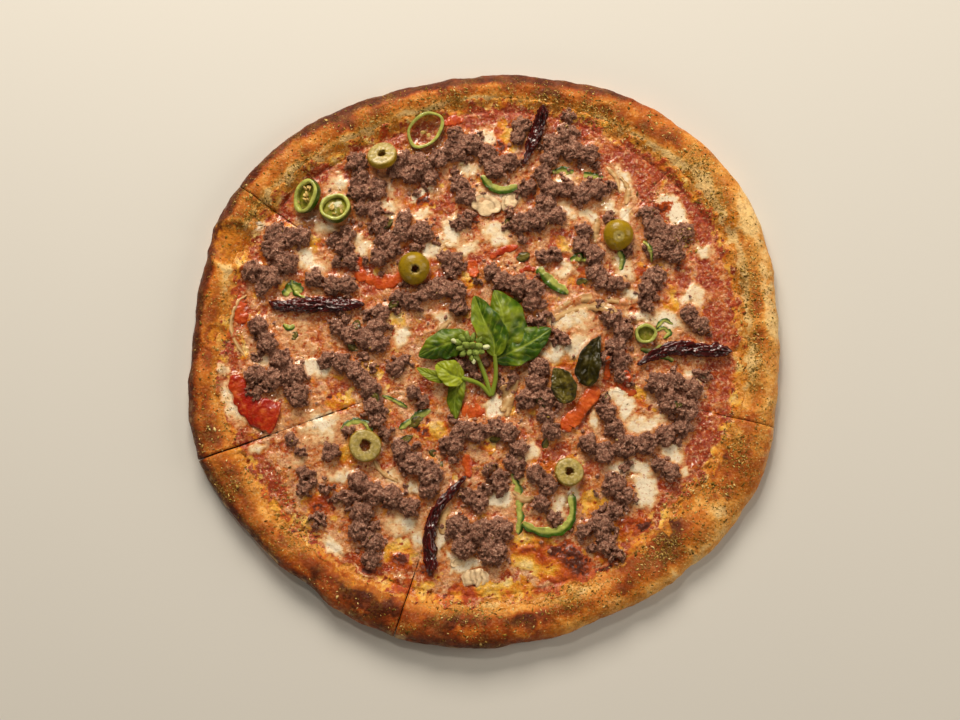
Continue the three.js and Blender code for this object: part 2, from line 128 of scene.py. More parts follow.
def heading(angles):
    """The way that each angle points, in x and y."""
    return np.stack([np.cos(angles), np.sin(angles)], axis=-1)


DOUGH = [corners_of(f"dough_slice_{i}") for i in SLICES]
MIDDLE = np.mean([dough[np.argmin(np.hypot(*dough[:, :2].T))][:2] for dough in DOUGH], axis=0)


def span_of(corners):
    """The two directions between which a slice lies, the second one larger."""
    reach = polar(corners)[0]
    far = corners[reach > 0.5 * reach.max()]
    middle = polar(far.mean(axis=0))[1]
    turns = (polar(far)[1] - middle + 180) % 360 - 180
    return middle + turns.min(), middle + turns.max()


SPANS = [span_of(dough) for dough in DOUGH]
# The direction of the cut before each slice, and after the last one.
CUTS = [(SPANS[i - 1][1] % 360 + SPANS[i][0] % 360) / 2 for i in range(len(SPANS))]
CUTS.append(CUTS[0] + 360)

DIRECTIONS = np.arange(0, 360, 0.25)


def ring_of(level):
    """How far out the dough's corners at that height lie, for each of DIRECTIONS, smoothed."""
    corners = np.concatenate(DOUGH)
    reach, direction = polar(corners)
    found = (np.abs(corners[:, 2] - level) < 0.05 * MM) & (reach > 0.1)
    order = np.argsort(direction[found])
    ring = np.interp(DIRECTIONS, direction[found][order], reach[found][order], period=360)
    steps = np.arange(-24, 25)
    weights = np.exp(-0.5 * (steps / 8) ** 2)
    return sum(w * np.roll(ring, s) for w, s in zip(weights, steps)) / weights.sum()


EDGE_LEVEL, FOOT_LEVEL, BASE_LEVEL = 5.5 * MM, 6.6 * MM, 5 * MM
EDGE = ring_of(EDGE_LEVEL)  # the outer edge of the rim
FOOT = ring_of(FOOT_LEVEL)  # where the rim starts to rise from the topping


def crest_heights():
    """The height of the rim's crest for each of DIRECTIONS, without the gaps at the cuts."""
    out = EDGE - 0.42 * (EDGE - FOOT)
    found = heights(cad_tree(named("dough")), MIDDLE + out[:, None] * heading(np.radians(DIRECTIONS)))
    solid = np.nan_to_num(found) > 0.8 * np.nanmax(found)
    return np.interp(DIRECTIONS, DIRECTIONS[solid], found[solid], period=360)


CREST = crest_heights()


def around(values, directions):
    """A value for each direction, from a profile given for DIRECTIONS."""
    return np.interp(np.asarray(directions) % 360, DIRECTIONS, values, period=360)


def turning(highs_and_lows, directions):
    """A value that swings smoothly between the highs and lows given for some directions."""
    at, value = np.array(highs_and_lows, float).T
    at, value = np.append(at, at[0] + 360), np.append(value, value[0])
    wrapped = (np.asarray(directions) - at[0]) % 360 + at[0]
    i = np.clip(np.searchsorted(at, wrapped, side="right") - 1, 0, len(at) - 2)
    share = (wrapped - at[i]) / (at[i + 1] - at[i])
    return value[i] + (value[i + 1] - value[i]) * share**2 * (3 - 2 * share)


def off_heading(directions, heading_at):
    """How far directions lie from one of them, from -180 to 180 degrees."""
    return (directions - heading_at + 180) % 360 - 180


def into_slice(direction, side):
    """The way from a cut into the slice after it (side 1) or before it (side -1), in x and y."""
    a = math.radians(direction)
    return side * np.array([-math.sin(a), math.cos(a)])


# ---- Shaping helpers -----------------------------------------------------------------------------


def rough(points, grain, octaves=3, start=0.0):
    """Soft noise, mostly from -1 to 1, at each point. grain is the size of its coarsest lumps, in metres."""
    scaled = (np.asarray(points) / grain + start).tolist()
    return 1.8 * np.array([noise.fractal(p, 1.0, 2.0, octaves) for p in scaled])


def ramp(values, low, high):
    """0 below low, 1 above high, and a smooth rise between them."""
    share = np.clip((np.asarray(values) - low) / (high - low), 0, 1)
    return share * share * (3 - 2 * share)


def lift(flat, z=0.0):
    """Points in a plane as points in space."""
    flat = np.asarray(flat, float)
    return np.column_stack([flat[:, 0], flat[:, 1], np.broadcast_to(z, len(flat))])


def from_middle(x, y, z=0.0):
    """A place given in millimetres from MIDDLE, as a point in the model's frame."""
    return np.array([MIDDLE[0] + x * MM, MIDDLE[1] + y * MM, z * MM])


def patches(points, places, soft=0.28):
    """1 within the oval patches, 0 well outside.

    A patch is (x, y, half length, half width), and its turn in degrees if it has one."""
    x, y = (np.asarray(points)[:, :2] - MIDDLE).T / MM
    mask = np.zeros(len(x))
    for at_x, at_y, long, wide, *turn in places:
        a = math.radians(*turn or [0])
        along = (math.cos(a) * (x - at_x) + math.sin(a) * (y - at_y)) / long
        across = (math.cos(a) * (y - at_y) - math.sin(a) * (x - at_x)) / wide
        mask = np.maximum(mask, ramp(-np.hypot(along, across), -1 - soft, -1 + soft))
    return mask


def circle(count):
    """Angles at even steps all the way round."""
    return np.linspace(0, 2 * np.pi, count, endpoint=False)


def net(rows, corners, ring=False, closed=False):
    """Four-cornered faces between rows of points.

    ring joins the last row to the first one, and closed joins the last point of each row to its first."""
    steps = np.arange(rows if ring else rows - 1), np.arange(corners if closed else corners - 1)
    i, j = (k.ravel() for k in np.meshgrid(*steps, indexing="ij"))
    here, after, beside = i * corners, (i + 1) % rows * corners, (j + 1) % corners
    return np.column_stack([here + j, here + beside, after + beside, after + j])


def tube(rows, corners):
    """The faces of a tube of closed rows, with each end closed by one more point after them all."""
    faces = net(rows, corners, closed=True).tolist()
    end, last = rows * corners, (rows - 1) * corners
    for j in range(corners):
        k = (j + 1) % corners
        faces += [[end, k, j], [end + 1, last + j, last + k]]
    return faces


def shell(rows, corners):
    """The faces of a thin shell: a net of points above, the same below it, and the edge between them."""
    count = rows * corners
    upper = net(rows, corners)[:, [0, 3, 2, 1]]
    grid = np.arange(count).reshape(rows, corners)
    edge = np.concatenate([grid[:, 0], grid[-1, 1:], grid[-2::-1, -1], grid[0, -2:0:-1]])
    after = np.roll(edge, -1)
    rim = np.column_stack([edge, after, after + count, edge + count])
    return np.vstack([upper, upper[:, ::-1] + count, rim]).tolist()


def carry(mesh, masks):
    """Gives a mesh its masks: values from 0 to 1 for its corners, by name."""
    for name, values in masks.items():
        mesh.attributes.new(name, "FLOAT", "POINT").data.foreach_set("value", np.asarray(values, np.float32))


def mesh_of(name, points, faces, masks=None):
    """A mesh with smooth faces and its masks."""
    mesh = bpy.data.meshes.new(name)
    mesh.from_pydata(np.asarray(points).tolist(), [], faces if isinstance(faces, list) else faces.tolist())
    mesh.shade_smooth()
    carry(mesh, masks or {})
    return mesh


MESH_PARTS = bmesh.types.BMVert, bmesh.types.BMEdge, bmesh.types.BMFace


@contextmanager
def editing(mesh):
    """A mesh opened for editing, and written back after it."""
    bm = bmesh.new()
    bm.from_mesh(mesh)
    yield bm
    bm.to_mesh(mesh)
    bm.free()


def shown(name, mesh, slot, *materials, replaces=()):
    """Puts a mesh on the pizza as a piece with its finish, in place of the CAD nodes it stands for."""
    made = bpy.data.objects.new(name, mesh)
    bpy.context.scene.collection.objects.link(made)
    mesh.materials.clear()
    for material in materials:
        mesh.materials.append(material)
    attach(made, "root")
    if replaces:
        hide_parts(*replaces)
    return made


# ---- Finishes ------------------------------------------------------------------------------------


def rgb(code):
    """A colour as the shaders want it, from its usual six-figure code."""
    parts = (int(code[i : i + 2], 16) / 255 for i in (0, 2, 4))
    return (*(p / 12.92 if p <= 0.04045 else ((p + 0.055) / 1.055) ** 2.4 for p in parts), 1.0)


class Paint:
    """The shader nodes of one material or node group. A colour is a socket or a six-figure code."""

    def __init__(self, tree):
        self.tree = tree

    def plug(self, value, socket):
        """Links a socket to another, or sets it."""
        if isinstance(value, bpy.types.NodeSocket):
            self.tree.links.new(value, socket)
        else:
            socket.default_value = rgb(value) if isinstance(value, str) else value

    def add(self, kind, inputs=None, **settings):
        """A new node, with its settings and inputs filled in."""
        node = self.tree.nodes.new("ShaderNode" + kind)
        for name, value in settings.items():
            setattr(node, name, value)
        for socket, value in (inputs or {}).items():
            self.plug(value, node.inputs[socket])
        return node

    def math(self, how, a, b, clamp=True):
        """One step of arithmetic on two values, held between 0 and 1."""
        return self.add("Math", {0: a, 1: b}, operation=how, use_clamp=clamp).outputs[0]

    def times(self, a, b):
        """Two values multiplied."""
        return self.math("MULTIPLY", a, b)

    def over(self, mask, below, above):
        """The colour above laid over the colour below, as far as the mask says."""
        return self.add("Mix", {0: mask, 6: below, 7: above}, data_type="RGBA").outputs[2]

    def place(self):
        """Where each point of the surface is."""
        return self.add("TexCoord").outputs["Object"]

    def noise(self, scale, detail, **inputs):
        """Soft noise over the surface."""
        inputs = {"Vector": self.place(), "Scale": scale, "Detail": detail, **inputs}
        return self.add("TexNoise", inputs).outputs[0]

    def mask(self, name):
        """A mask that the mesh carries."""
        return self.add("Attribute", attribute_name=name).outputs["Fac"]

    def spread(self, value, low, high):
        """A value from 0 to 1 spread from low to high."""
        return self.add("MapRange", {"Value": value, "To Min": low, "To Max": high}).outputs[0]

    def stepped(self, value, low, high):
        """0 where the value is below low, 1 where it is above high."""
        limits = {"Value": value, "From Min": low, "From Max": high}
        return self.add("MapRange", limits, interpolation_type="SMOOTHSTEP").outputs[0]

    def jittered(self, level, noise_value, amount):
        """A level moved up and down by some noise."""
        limits = {"From Min": 0.3, "From Max": 0.7, "To Min": -amount, "To Max": amount}
        return self.math("ADD", level, self.add("MapRange", {"Value": noise_value, **limits}).outputs[0])

    def shades(self, level, *stops):
        """A colour from a row of (position, colour), picked by the level."""
        node = self.add("ValToRGB", {"Fac": level})
        made = node.color_ramp.elements
        for stop, (position, code) in zip(made, (stops[0], stops[-1])):
            stop.position, stop.color = position, rgb(code)
        for position, code in stops[1:-1]:
            made.new(position).color = rgb(code)
        return node.outputs[0]

    def use(self, name, **inputs):
        """Places one of the node groups, and returns its output."""
        return self.add("Group", inputs, node_tree=GROUPS[name]).outputs[0]

    def specks(self, size, share, softness):
        """A mask of small spots."""
        return self.use("specks", Size=size, Share=share, Softness=softness)

    def grain(self, size, sharpness):
        """The height of a grainy surface."""
        return self.use("grain", Size=size, Sharpness=sharpness)

    def mottled(self, colour, size, amount):
        """A colour made a little lighter and darker from place to place."""
        return self.use("mottled", Color=colour, Size=size, Amount=amount)

    def speckled(self, colour, spots, strength, size, share, softness):
        """A colour with small spots of another over it."""
        return self.over(self.times(self.specks(size, share, softness), strength), colour, spots)

    def stained(self, colour, stain, mask, strength):
        """A colour with another over it, as far as a mask of the mesh says."""
        return self.over(self.times(self.mask(mask), strength), colour, stain)

    def bumped(self, height, depth, below=None):
        """A surface raised by up to depth metres where the height is 1."""
        lower = {"Normal": below} if below else {}
        return self.add("Bump", {"Height": height, "Distance": depth, "Strength": 1.0, **lower}).outputs[0]

    def grained(self, colour, size, sharpness, depth):
        """A colour on a grainy surface, by the shader's socket names."""
        return {"Base Color": colour, "Normal": self.bumped(self.grain(size, sharpness), depth)}


def group(name, inputs, output, kind):
    """A new node group with named inputs and one output.

    Returns its paint, its inputs, what its textures share, and its end."""
    tree = bpy.data.node_groups.new(name, "ShaderNodeTree")
    for label, value in inputs.items():
        socket = "NodeSocketColor" if isinstance(value, tuple) else "NodeSocketFloat"
        tree.interface.new_socket(name=label, in_out="INPUT", socket_type=socket).default_value = value
    tree.interface.new_socket(name=output, in_out="OUTPUT", socket_type=kind)
    p = Paint(tree)
    given = tree.nodes.new("NodeGroupInput").outputs
    texture = {"Vector": p.place(), "Scale": p.math("DIVIDE", 1.0, given["Size"], clamp=False)}
    return p, given, texture, tree.nodes.new("NodeGroupOutput").inputs[output]


def specks_group():
    """Small spots, with soft or sharp edges: herbs, browned points, pores."""
    inputs = {"Size": 0.002, "Share": 0.3, "Softness": 0.1}
    p, given, texture, end = group("specks", inputs, "Mask", "NodeSocketFloat")
    spots = p.add("TexNoise", {**texture, "Detail": 3.0}).outputs[0]
    reach = p.math("MULTIPLY", given["Share"], 0.44, clamp=False)
    low = p.math("SUBTRACT", 0.72, reach, clamp=False)
    high = p.math("ADD", low, given["Softness"], clamp=False)
    p.plug(p.add("MapRange", {"Value": spots, "From Min": low, "From Max": high}).outputs[0], end)
    return p.tree


def grain_group():
    """The height of a grainy surface, from coarse lumps down to fine ones."""
    p, given, texture, end = group("grain", {"Size": 0.003, "Sharpness": 0.5}, "Height", "NodeSocketFloat")
    lumps = p.add("TexNoise", {**texture, "Detail": 5.0, "Roughness": 0.62, "Distortion": 0.4}).outputs[0]
    cells = p.add("TexVoronoi", texture, feature="F1").outputs["Distance"]
    mix = p.add("Mix", {"Factor": given["Sharpness"], 2: lumps, 3: cells}, data_type="FLOAT")
    p.plug(mix.outputs[0], end)
    return p.tree


def mottled_group():
    """A colour made a little lighter and darker from place to place."""
    inputs = {"Color": rgb("808080"), "Size": 0.01, "Amount": 0.3}
    p, given, texture, end = group("mottled", inputs, "Color", "NodeSocketColor")
    lumps = p.add("TexNoise", {**texture, "Detail": 4.0}).outputs[0]
    limits = {"From Min": 0.3, "From Max": 0.7, "To Min": 0.6, "To Max": 1.4}
    spread = p.add("MapRange", {"Value": lumps, **limits}).outputs[0]
    shade = p.add("HueSaturation", {"Value": spread, "Color": given["Color"]}).outputs[0]
    p.plug(p.over(given["Amount"], given["Color"], shade), end)
    return p.tree


GROUPS = {"specks": specks_group(), "grain": grain_group(), "mottled": mottled_group()}


def finish(name, paint, roughness=0.5, coat=0.0, coat_roughness=0.03, specular=0.2):
    """A material. paint gives what varies over the surface, by the shader's socket names."""
    material = bpy.data.materials.new(name)
    material.use_nodes = True
    p = Paint(material.node_tree)
    p.tree.nodes.clear()
    uniform = {"Roughness": roughness, "Specular IOR Level": specular}
    shader = p.add("BsdfPrincipled", {**uniform, "Coat Weight": coat, "Coat Roughness": coat_roughness})
    for socket, value in paint(p).items():
        p.plug(value, shader.inputs[socket])
    p.plug(shader.outputs[0], p.add("OutputMaterial").inputs["Surface"])
    return material


# ---- The crust -----------------------------------------------------------------------------------

# The rim's section from under its outer edge to its foot: how far in, as a share of its width, and how high,
# as a share of its crest.
RIM_SECTION = [
    (0.4, 0), (0.22, 0.004), (0.1, 0.07), (0.02, 0.21), (0, 0.38), (0.03, 0.6), (0.11, 0.8), (0.25, 0.945),
    (0.42, 1), (0.6, 0.94), (0.76, 0.79), (0.89, 0.61), (1, 0.48), (1.12, 0.4),
]
RIM_STEPS = 52
RIM_SIZE = (22, 14, 1)  # about its width and height in millimetres, to space its points evenly
CRUST_STEP = 0.34  # degrees
# Extra columns beside each cut, in degrees from it.
CUT_COLUMNS = np.array([0.0, 0.07, 0.16, 0.26])
# Where the points inside the rim lie, below it and on it, as shares of the way out from the middle.
INNER_SHARES = np.array([0.0, 0.3, 0.6, 0.85])
# How far the bread's edge is rounded down beside each cut, in the order of CUTS.
CUT_SHOULDERS = [0.15 * MM, 0.5 * MM, 0.7 * MM, 0.9 * MM, 0.5 * MM]
SHOULDER_REACH = 0.55 * MM
CUT_REACH = 2.5 * MM  # how far into a slice its cut pushes it
# Half the width of the gap at each cut, in the order of CUTS.
CUT_HALF_WIDTHS = [0.04 * MM, 0.2 * MM, 0.42 * MM, 0.26 * MM, 0.16 * MM]
# How far each cut can be seen from the outer edge before cheese closes it, in the order of CUTS.
OPEN_CUTS = [17, 40, 84, 52, 46]
# Bubbles in the rim: direction, share of the rim's width from the edge, radius in degrees and height.
BUBBLES = [
    (155, 0.45, 4.5, 0.6), (176, 0.5, 5, 0.6), (128, 0.4, 6, 0.8), (108, 0.5, 5, 0.5), (84, 0.45, 6, 0.6),
    (62, 0.4, 5, 0.7), (40, 0.5, 7, 0.7), (18, 0.4, 5, 0.6), (354, 0.45, 5, 0.7), (332, 0.5, 7, 0.8),
    (312, 0.5, 6, 0.9), (290, 0.4, 6, 0.8), (268, 0.45, 5, 0.7), (240, 0.4, 7, 0.7), (222, 0.5, 5, 0.9),
    (205, 0.45, 5, 0.7), (192, 0.5, 4, 0.5),
]
# Round bubbles that stand out of the rim: x, y, radius and height.
ROUND_BUBBLES = [
    (-130, 59, 10.5, 2.8), (-139, 12, 5, 0.8), (60, 126, 6, 0.9), (128, 62, 5, 0.8), (-20, 134, 6, 0.8),
    (101, -104, 6, 0.9), (-98, -90, 7, 0.9), (-60, -122, 6, 0.8), (20, -134, 6, 0.7), (138, -20, 6, 0.7),
]
# Orange places on the bubbles, as for patches().
ORANGE_BUBBLES = [(-130, 59, 10, 10), (-139, 12, 4, 5), (126, 72, 4, 4)]
# How floury the outermost edge is, by direction.
FLOURED_EDGE = [(0, 0.7), (45, 0.4), (80, 0), (180, 0.1), (202, 1), (255, 1), (275, 0.3), (320, 0.7)]
# How charred the underside is, by direction.
CHARRED = [(30, -0.6), (140, 0.1), (230, 0.7), (290, 0.5), (340, -0.4)]
# Cheese that ran onto the rim.
CREAM_PATCHES = [
    (-129, -23, 6, 12, 25), (-77, -97, 9, 3, -38), (-61, -108, 7, 2, -28), (-134, -6, 2.5, 5, 10),
]
# How brown the rim is in some directions, from pale to dark.
BROWNING = [
    (0, 0.3), (14, 0.22), (28, 0.08), (44, 0.24), (60, 0.42), (74, 0.56), (90, 0.42), (110, 0.46),
    (124, 0.56), (146, 0.46), (170, 0.42), (184, 0.42), (200, 0.52), (214, 0.6), (230, 0.64), (246, 0.66),
    (262, 0.62), (276, 0.6), (290, 0.55), (306, 0.48), (322, 0.42), (340, 0.44),
]
# How much darker or paler the outer edge is, by direction: partly browning, partly painted shade.
EDGE_BROWN = [
    (0, 0), (12, 0), (26, 0), (48, 0.05), (72, 0.9), (92, 1.3), (120, 1.2), (144, 1.4), (168, 0.9),
    (192, 0.6), (216, 0.6), (240, 0), (264, 0.4), (288, -0.1), (312, -0.2), (336, 0),
]
# How much darker or paler the inner slope is, by direction: partly browning, partly painted light.
INNER_BROWN = [
    (0, 0), (24, -0.6), (48, -0.6), (72, 0.2), (96, -0.75), (120, -0.35), (144, -0.7), (168, 0.05),
    (192, 0.1), (216, 0.15), (240, 0.35), (264, 0), (288, 0), (312, 0.7), (336, 0.55),
]
# How yellow the inner slope of the rim is, by direction.
YELLOW_SLOPE = [
    (0, 0.8), (30, 0.6), (60, 0.6), (96, 1), (150, 0.9), (190, 0.8), (240, 0.9), (290, 1), (312, 0.3),
    (340, 0.4),
]
# How far sauce stains the foot of the rim, by direction.
SAUCE_RIM = [
    (0, 0.7), (40, 0.5), (90, 0.7), (130, 0.2), (185, 0.5), (205, 0.0), (240, -0.1), (280, -0.3), (320, 0.4),
]
# Darker browned patches on the rim, as for patches().
CRUST_BROWNED = [
    (-72, 121, 5, 3.5, 30), (-53, 127, 5, 3, 15), (-88, 106, 4, 3, 40), (-145, -20, 3, 6, 10),
    (-140, -38, 6, 4, -60), (-126, -55, 6, 4, -50), (-108, -92, 8, 4, -45), (-88, -108, 10, 5, -38),
    (-62, -124, 9, 4, -28), (-50, -126, 5, 4, -20), (-12, -132, 9, 4), (22, -132, 9, 4, 5),
    (45, -128, 7, 3, 18), (72, -116, 5, 3, 30), (92, -99, 8, 6, 30), (117, -96, 4, 3, 50),
    (122, -53, 4, 3, 40), (95, -84, 4, 4), (124, -68, 5, 4), (110, -64, 5, 4), (133, -28, 4, 2.5),
    (126, 55, 4, 3, 20), (125, 77, 4, 3, 60), (139, 25, 3, 3), (141, 12, 3, 3), (66, 127, 6, 4, -25),
    (34, 136, 7, 4, -10), (96, 116, 5, 3, -40), (14, 143, 5, 3), (-25, 138, 4, 3, 10), (85, 87, 3, 2),
]
# Paler, floury places.
CRUST_PALE = [
    (-122, 50, 3, 7, -50), (-131, 40, 5, 9, -5), (-128, 12, 3, 12), (-127, -22, 4, 9, 25),
    (-118, -62, 3, 9, 30), (-104, -78, 4, 9, 42), (-83, -93, 8, 2.5, -35), (-62, -109, 9, 3, -25),
    (0, -124, 22, 3), (40, -119, 14, 3, 12), (108, -72, 10, 4, 50), (118, -76, 5, 6), (126, -40, 5, 8, 20),
    (140, -42, 4, 8, -15), (145, 30, 3, 18, 8), (134, 72, 4, 12, 28), (112, 92, 8, 4, -45),
    (95, 100, 8, 3, -45), (60, 122, 12, 3, -22), (-15, 132, 10, 3, 5), (-43, 124, 6, 5, 30),
    (-70, 112, 8, 3, 28), (-96, 97, 7, 3, 40), (-110, 84, 6, 3, 45), (136, 2, 3, 9), (127, -12, 2.5, 9),
]
# Where dried herbs lie thickest on the rim, as for patches().
HERB_CLUSTERS = [
    (110, 100, 10, 7, -45), (136, 35, 5, 16), (-95, -88, 12, 7, -40), (-42, -137, 8, 4), (91, -98, 9, 7, 30),
    (124, -68, 5, 4), (109, -64, 6, 5), (-130, -65, 6, 8), (-120, 72, 8, 5, 50), (60, 125, 14, 5, -25),
    (-60, 118, 10, 5, 30), (-20, 134, 12, 5, 8), (30, 132, 12, 5, -8), (120, 80, 6, 10, 30), (138, 0, 4, 14),
    (128, -45, 5, 12, 20), (-128, 10, 5, 12), (-118, -60, 8, 8), (-10, -128, 14, 5), (40, -122, 12, 6, 15),
    (-95, 98, 8, 5, 40), (-112, 78, 6, 6),
]
# The bread's colours where cheese and oil reached it, shared with the thin edge of the cheese.
SLOPE_SHADES = [(0.3, "b45e10"), (0.5, "d88c2c"), (0.68, "ecb662")]
# Fine herbs baked onto the rim: size, share, strength and colours.
HERB_DUST = [
    (0.0014, 0.58, 0.58, [(0.35, "5e3a0a"), (0.5, "866214"), (0.65, "9c5410")]),
    (0.0009, 0.5, 0.5, [(0.35, "8e7424"), (0.65, "4e3006")]),
    (0.0011, 0.36, 0.3, [(0.35, "dca850"), (0.65, "ecc888")]),
]
# Bread from pale to dark.
BREAD_SHADES = [(0, "f4cc88"), (0.22, "e8a44c"), (0.5, "c8701e"), (0.75, "984008"), (1, "4c1a02")]


def rim_curve():
    """The rim's section as RIM_STEPS points spaced evenly along a smooth curve."""
    knots = np.column_stack([RIM_SECTION, np.zeros(len(RIM_SECTION))]) * RIM_SIZE
    return (curve(knots, RIM_STEPS) / RIM_SIZE)[:, :2]


def beside_cut(points, number):
    """Pushes the points of a slice away from the planes of its two cuts, until the gap is open."""
    for cut, side in ((number, 1), (number + 1, -1)):
        half_width = CUT_HALF_WIDTHS[cut % len(SPANS)]
        inward = into_slice(CUTS[cut], side)
        off = (points[..., :2] - MIDDLE) @ inward
        near = (off < CUT_REACH) & (polar(points)[0] > 1e-5)
        wanted = half_width + off * (CUT_REACH - half_width) / CUT_REACH
        points[..., :2] += np.where(near, wanted - off, 0)[..., None] * inward
        high = ramp(points[..., 2], 4 * MM, 8 * MM)
        points[..., 2] -= CUT_SHOULDERS[cut % len(SPANS)] * high * np.exp(-((off / SHOULDER_REACH) ** 2))


def swelling(flat, share, directions):
    """How far the rim swells at each point, in millimetres, and how its round bubbles change its browning."""
    swell = 0.7 * rough(flat, 18 * MM, 2) + 0.22 * rough(flat, 7 * MM, 2, 7.0)
    swell += 0.09 * rough(flat, 2.2 * MM, 2, 3.0)
    for direction, at, size, rise in BUBBLES:
        turn = off_heading(directions, direction)
        swell += rise * np.exp(-((turn / size) ** 2) - ((share - at) / 0.22) ** 2)
    blown = np.zeros(len(flat))
    for x, y, size, rise in ROUND_BUBBLES:
        off = np.hypot(*(flat[:, :2] - from_middle(x, y)[:2]).T) / (size * MM)
        dome, crease = np.exp(-(off**4)), np.exp(-(((off - 1.2) / 0.16) ** 2))
        swell += rise * (dome - 0.3 * crease)
        blown += min(1.0, rise / 2) * (0.22 * dome - 0.5 * crease)
    return swell, blown


def crust_masks(flat, share, height, blown):
    """What the rim is like at each point, with a value for the flat middle and one for the underside."""
    turn = polar(flat)[1]
    grains = (20, 15.0), (9, 11.0), (3, 5.0)
    slow, mid, fine = (rough(flat, grain * MM, 3, start) for grain, start in grains)
    stirred, swirled = (flat[:, :2] + 2 * MM * np.stack(both, 1) for both in ((mid, fine), (fine, mid)))
    inner = ramp(share, 0.55, 0.72) * ramp(-share, -0.97, -0.85)
    baked = turning(BROWNING, turn) + 0.2 * slow + 0.1 * mid + 0.05 * fine - 0.26 * inner
    baked += 0.16 * np.exp(-(((share - 0.5) / 0.2) ** 2)) + blown
    baked += 0.26 * patches(stirred, CRUST_BROWNED, 0.7) - 0.35 * patches(swirled, CRUST_PALE, 0.6)
    # Outer edge darker by direction: browning, with painted shade where it turns away from the light.
    baked += turning(EDGE_BROWN, turn) * ramp(-share - 0.05 * mid, -0.36, -0.03) * ramp(height, 0.12, 0.5)
    # Painted light: the inner slope paler where it faces away from the light, darker where it faces it.
    baked += turning(INNER_BROWN, turn) * np.exp(-(((share - 0.77) / 0.13) ** 2))
    below = ramp(-height, -0.5, -0.15) * (share < 0.42)
    outline = np.exp(-(((share - 0.03) / 0.055) ** 2)) * turning(FLOURED_EDGE, turn)
    charred = ramp(rough(flat, 7 * MM, 3, 21.0) + 1.1 * turning(CHARRED, turn), 0.5, 1.3)
    sauced = ramp(share + 0.1 * mid + 0.05 * fine, 0.68, 0.88)
    sauced *= ramp(0.5 * mid + 0.4 * fine + turning(SAUCE_RIM, turn), 0.0, 0.6)
    cheesy = ramp(share + 0.14 * mid + 0.05 * fine, 0.5, 0.8) * turning(YELLOW_SLOPE, turn)
    cheesy *= ramp(rough(flat, 12 * MM, 3, 17.0), -0.9, 0.1)
    clustered = patches(flat[:, :2] + 3 * MM * np.stack((mid, fine), 1), HERB_CLUSTERS, 0.7)
    herby = 0.12 + 0.4 * mid + 0.75 * clustered
    return {
        "baked": (np.clip(baked, 0, 1), 0.2, 0.45),
        "charred": (0.6 * charred * below, 0, 0),
        "sauced": (np.maximum(sauced, patches(stirred, ORANGE_BUBBLES, 0.5)), 1, 0),
        "cheesy": (cheesy, 1, 0),
        "under": (np.maximum(below, outline), 0, 1),
        "herby": (np.clip(herby, 0, 1), 0, 0),
        "creamy": (patches(swirled, CREAM_PATCHES, 0.5), 0, 0),
    }


def crust_slice(number):
    """One slice's dough: its rim, its flat middle and its underside, with bread showing at the cuts."""
    start, end = CUTS[number], CUTS[number + 1]
    steps = round((end - start) / CRUST_STEP) - 1
    inner = np.linspace(start + CRUST_STEP, end - CRUST_STEP, steps)
    directions = np.concatenate([start + CUT_COLUMNS, inner, end - CUT_COLUMNS[::-1]])
    columns = len(directions)
    edge, foot, crest = (around(profile, directions)[:, None] for profile in (EDGE, FOOT, CREST))
    inward, upward = rim_curve().T
    out = edge - inward * (edge - foot)
    out = np.hstack([INNER_SHARES * out[:, :1], out, INNER_SHARES[::-1] * out[:, -1:]])
    up = np.maximum(upward * crest, 0)
    up = np.where(inward > 1, BASE_LEVEL + (up - BASE_LEVEL) * 0.2, up)
    side = np.ones((columns, len(INNER_SHARES)))
    height, steep = (up / crest).ravel(), ramp(up, 0.0, 2.5 * MM)
    up = np.hstack([0 * side, up, BASE_LEVEL * side])
    points = np.dstack([MIDDLE + out[..., None] * heading(np.radians(directions))[:, None], up])
    rim = slice(len(INNER_SHARES), -len(INNER_SHARES))
    share = np.tile(inward, columns)
    facing = np.cross(np.gradient(points[:, rim], axis=1), np.gradient(points[:, rim], axis=0))
    facing /= np.linalg.norm(facing, axis=2, keepdims=True) + 1e-12
    swell, blown = swelling(points[:, rim].reshape(-1, 3), share, np.repeat(directions, RIM_STEPS))
    calm = steep * ramp(-inward, -1.1, -0.95)
    points[:, rim] += facing * (swell.reshape(calm.shape) * calm * MM)[..., None]
    points[..., 2] = np.maximum(points[..., 2], 0)
    beside_cut(points, number)

    masks = {}
    bread = crust_masks(points[:, rim].reshape(-1, 3), share, height, blown)
    for name, (values, middle, under) in bread.items():
        masks[name] = np.hstack([under * side, values.reshape(calm.shape), middle * side]).ravel()
    rows = points.shape[1]
    mesh = mesh_of(f"crust_slice_{number + 1}", points.reshape(-1, 3), net(columns, rows), masks)
    with editing(mesh) as bm:
        bm.verts.ensure_lookup_table()
        for loop in (range(rows), range(columns * rows - 1, (columns - 1) * rows - 1, -1)):
            face = bm.faces.new([bm.verts[k] for k in loop])
            face.material_index = 1
            face.smooth = False
        bmesh.ops.remove_doubles(bm, verts=bm.verts, dist=0.002 * MM)
        bmesh.ops.recalc_face_normals(bm, faces=bm.faces)
    return mesh


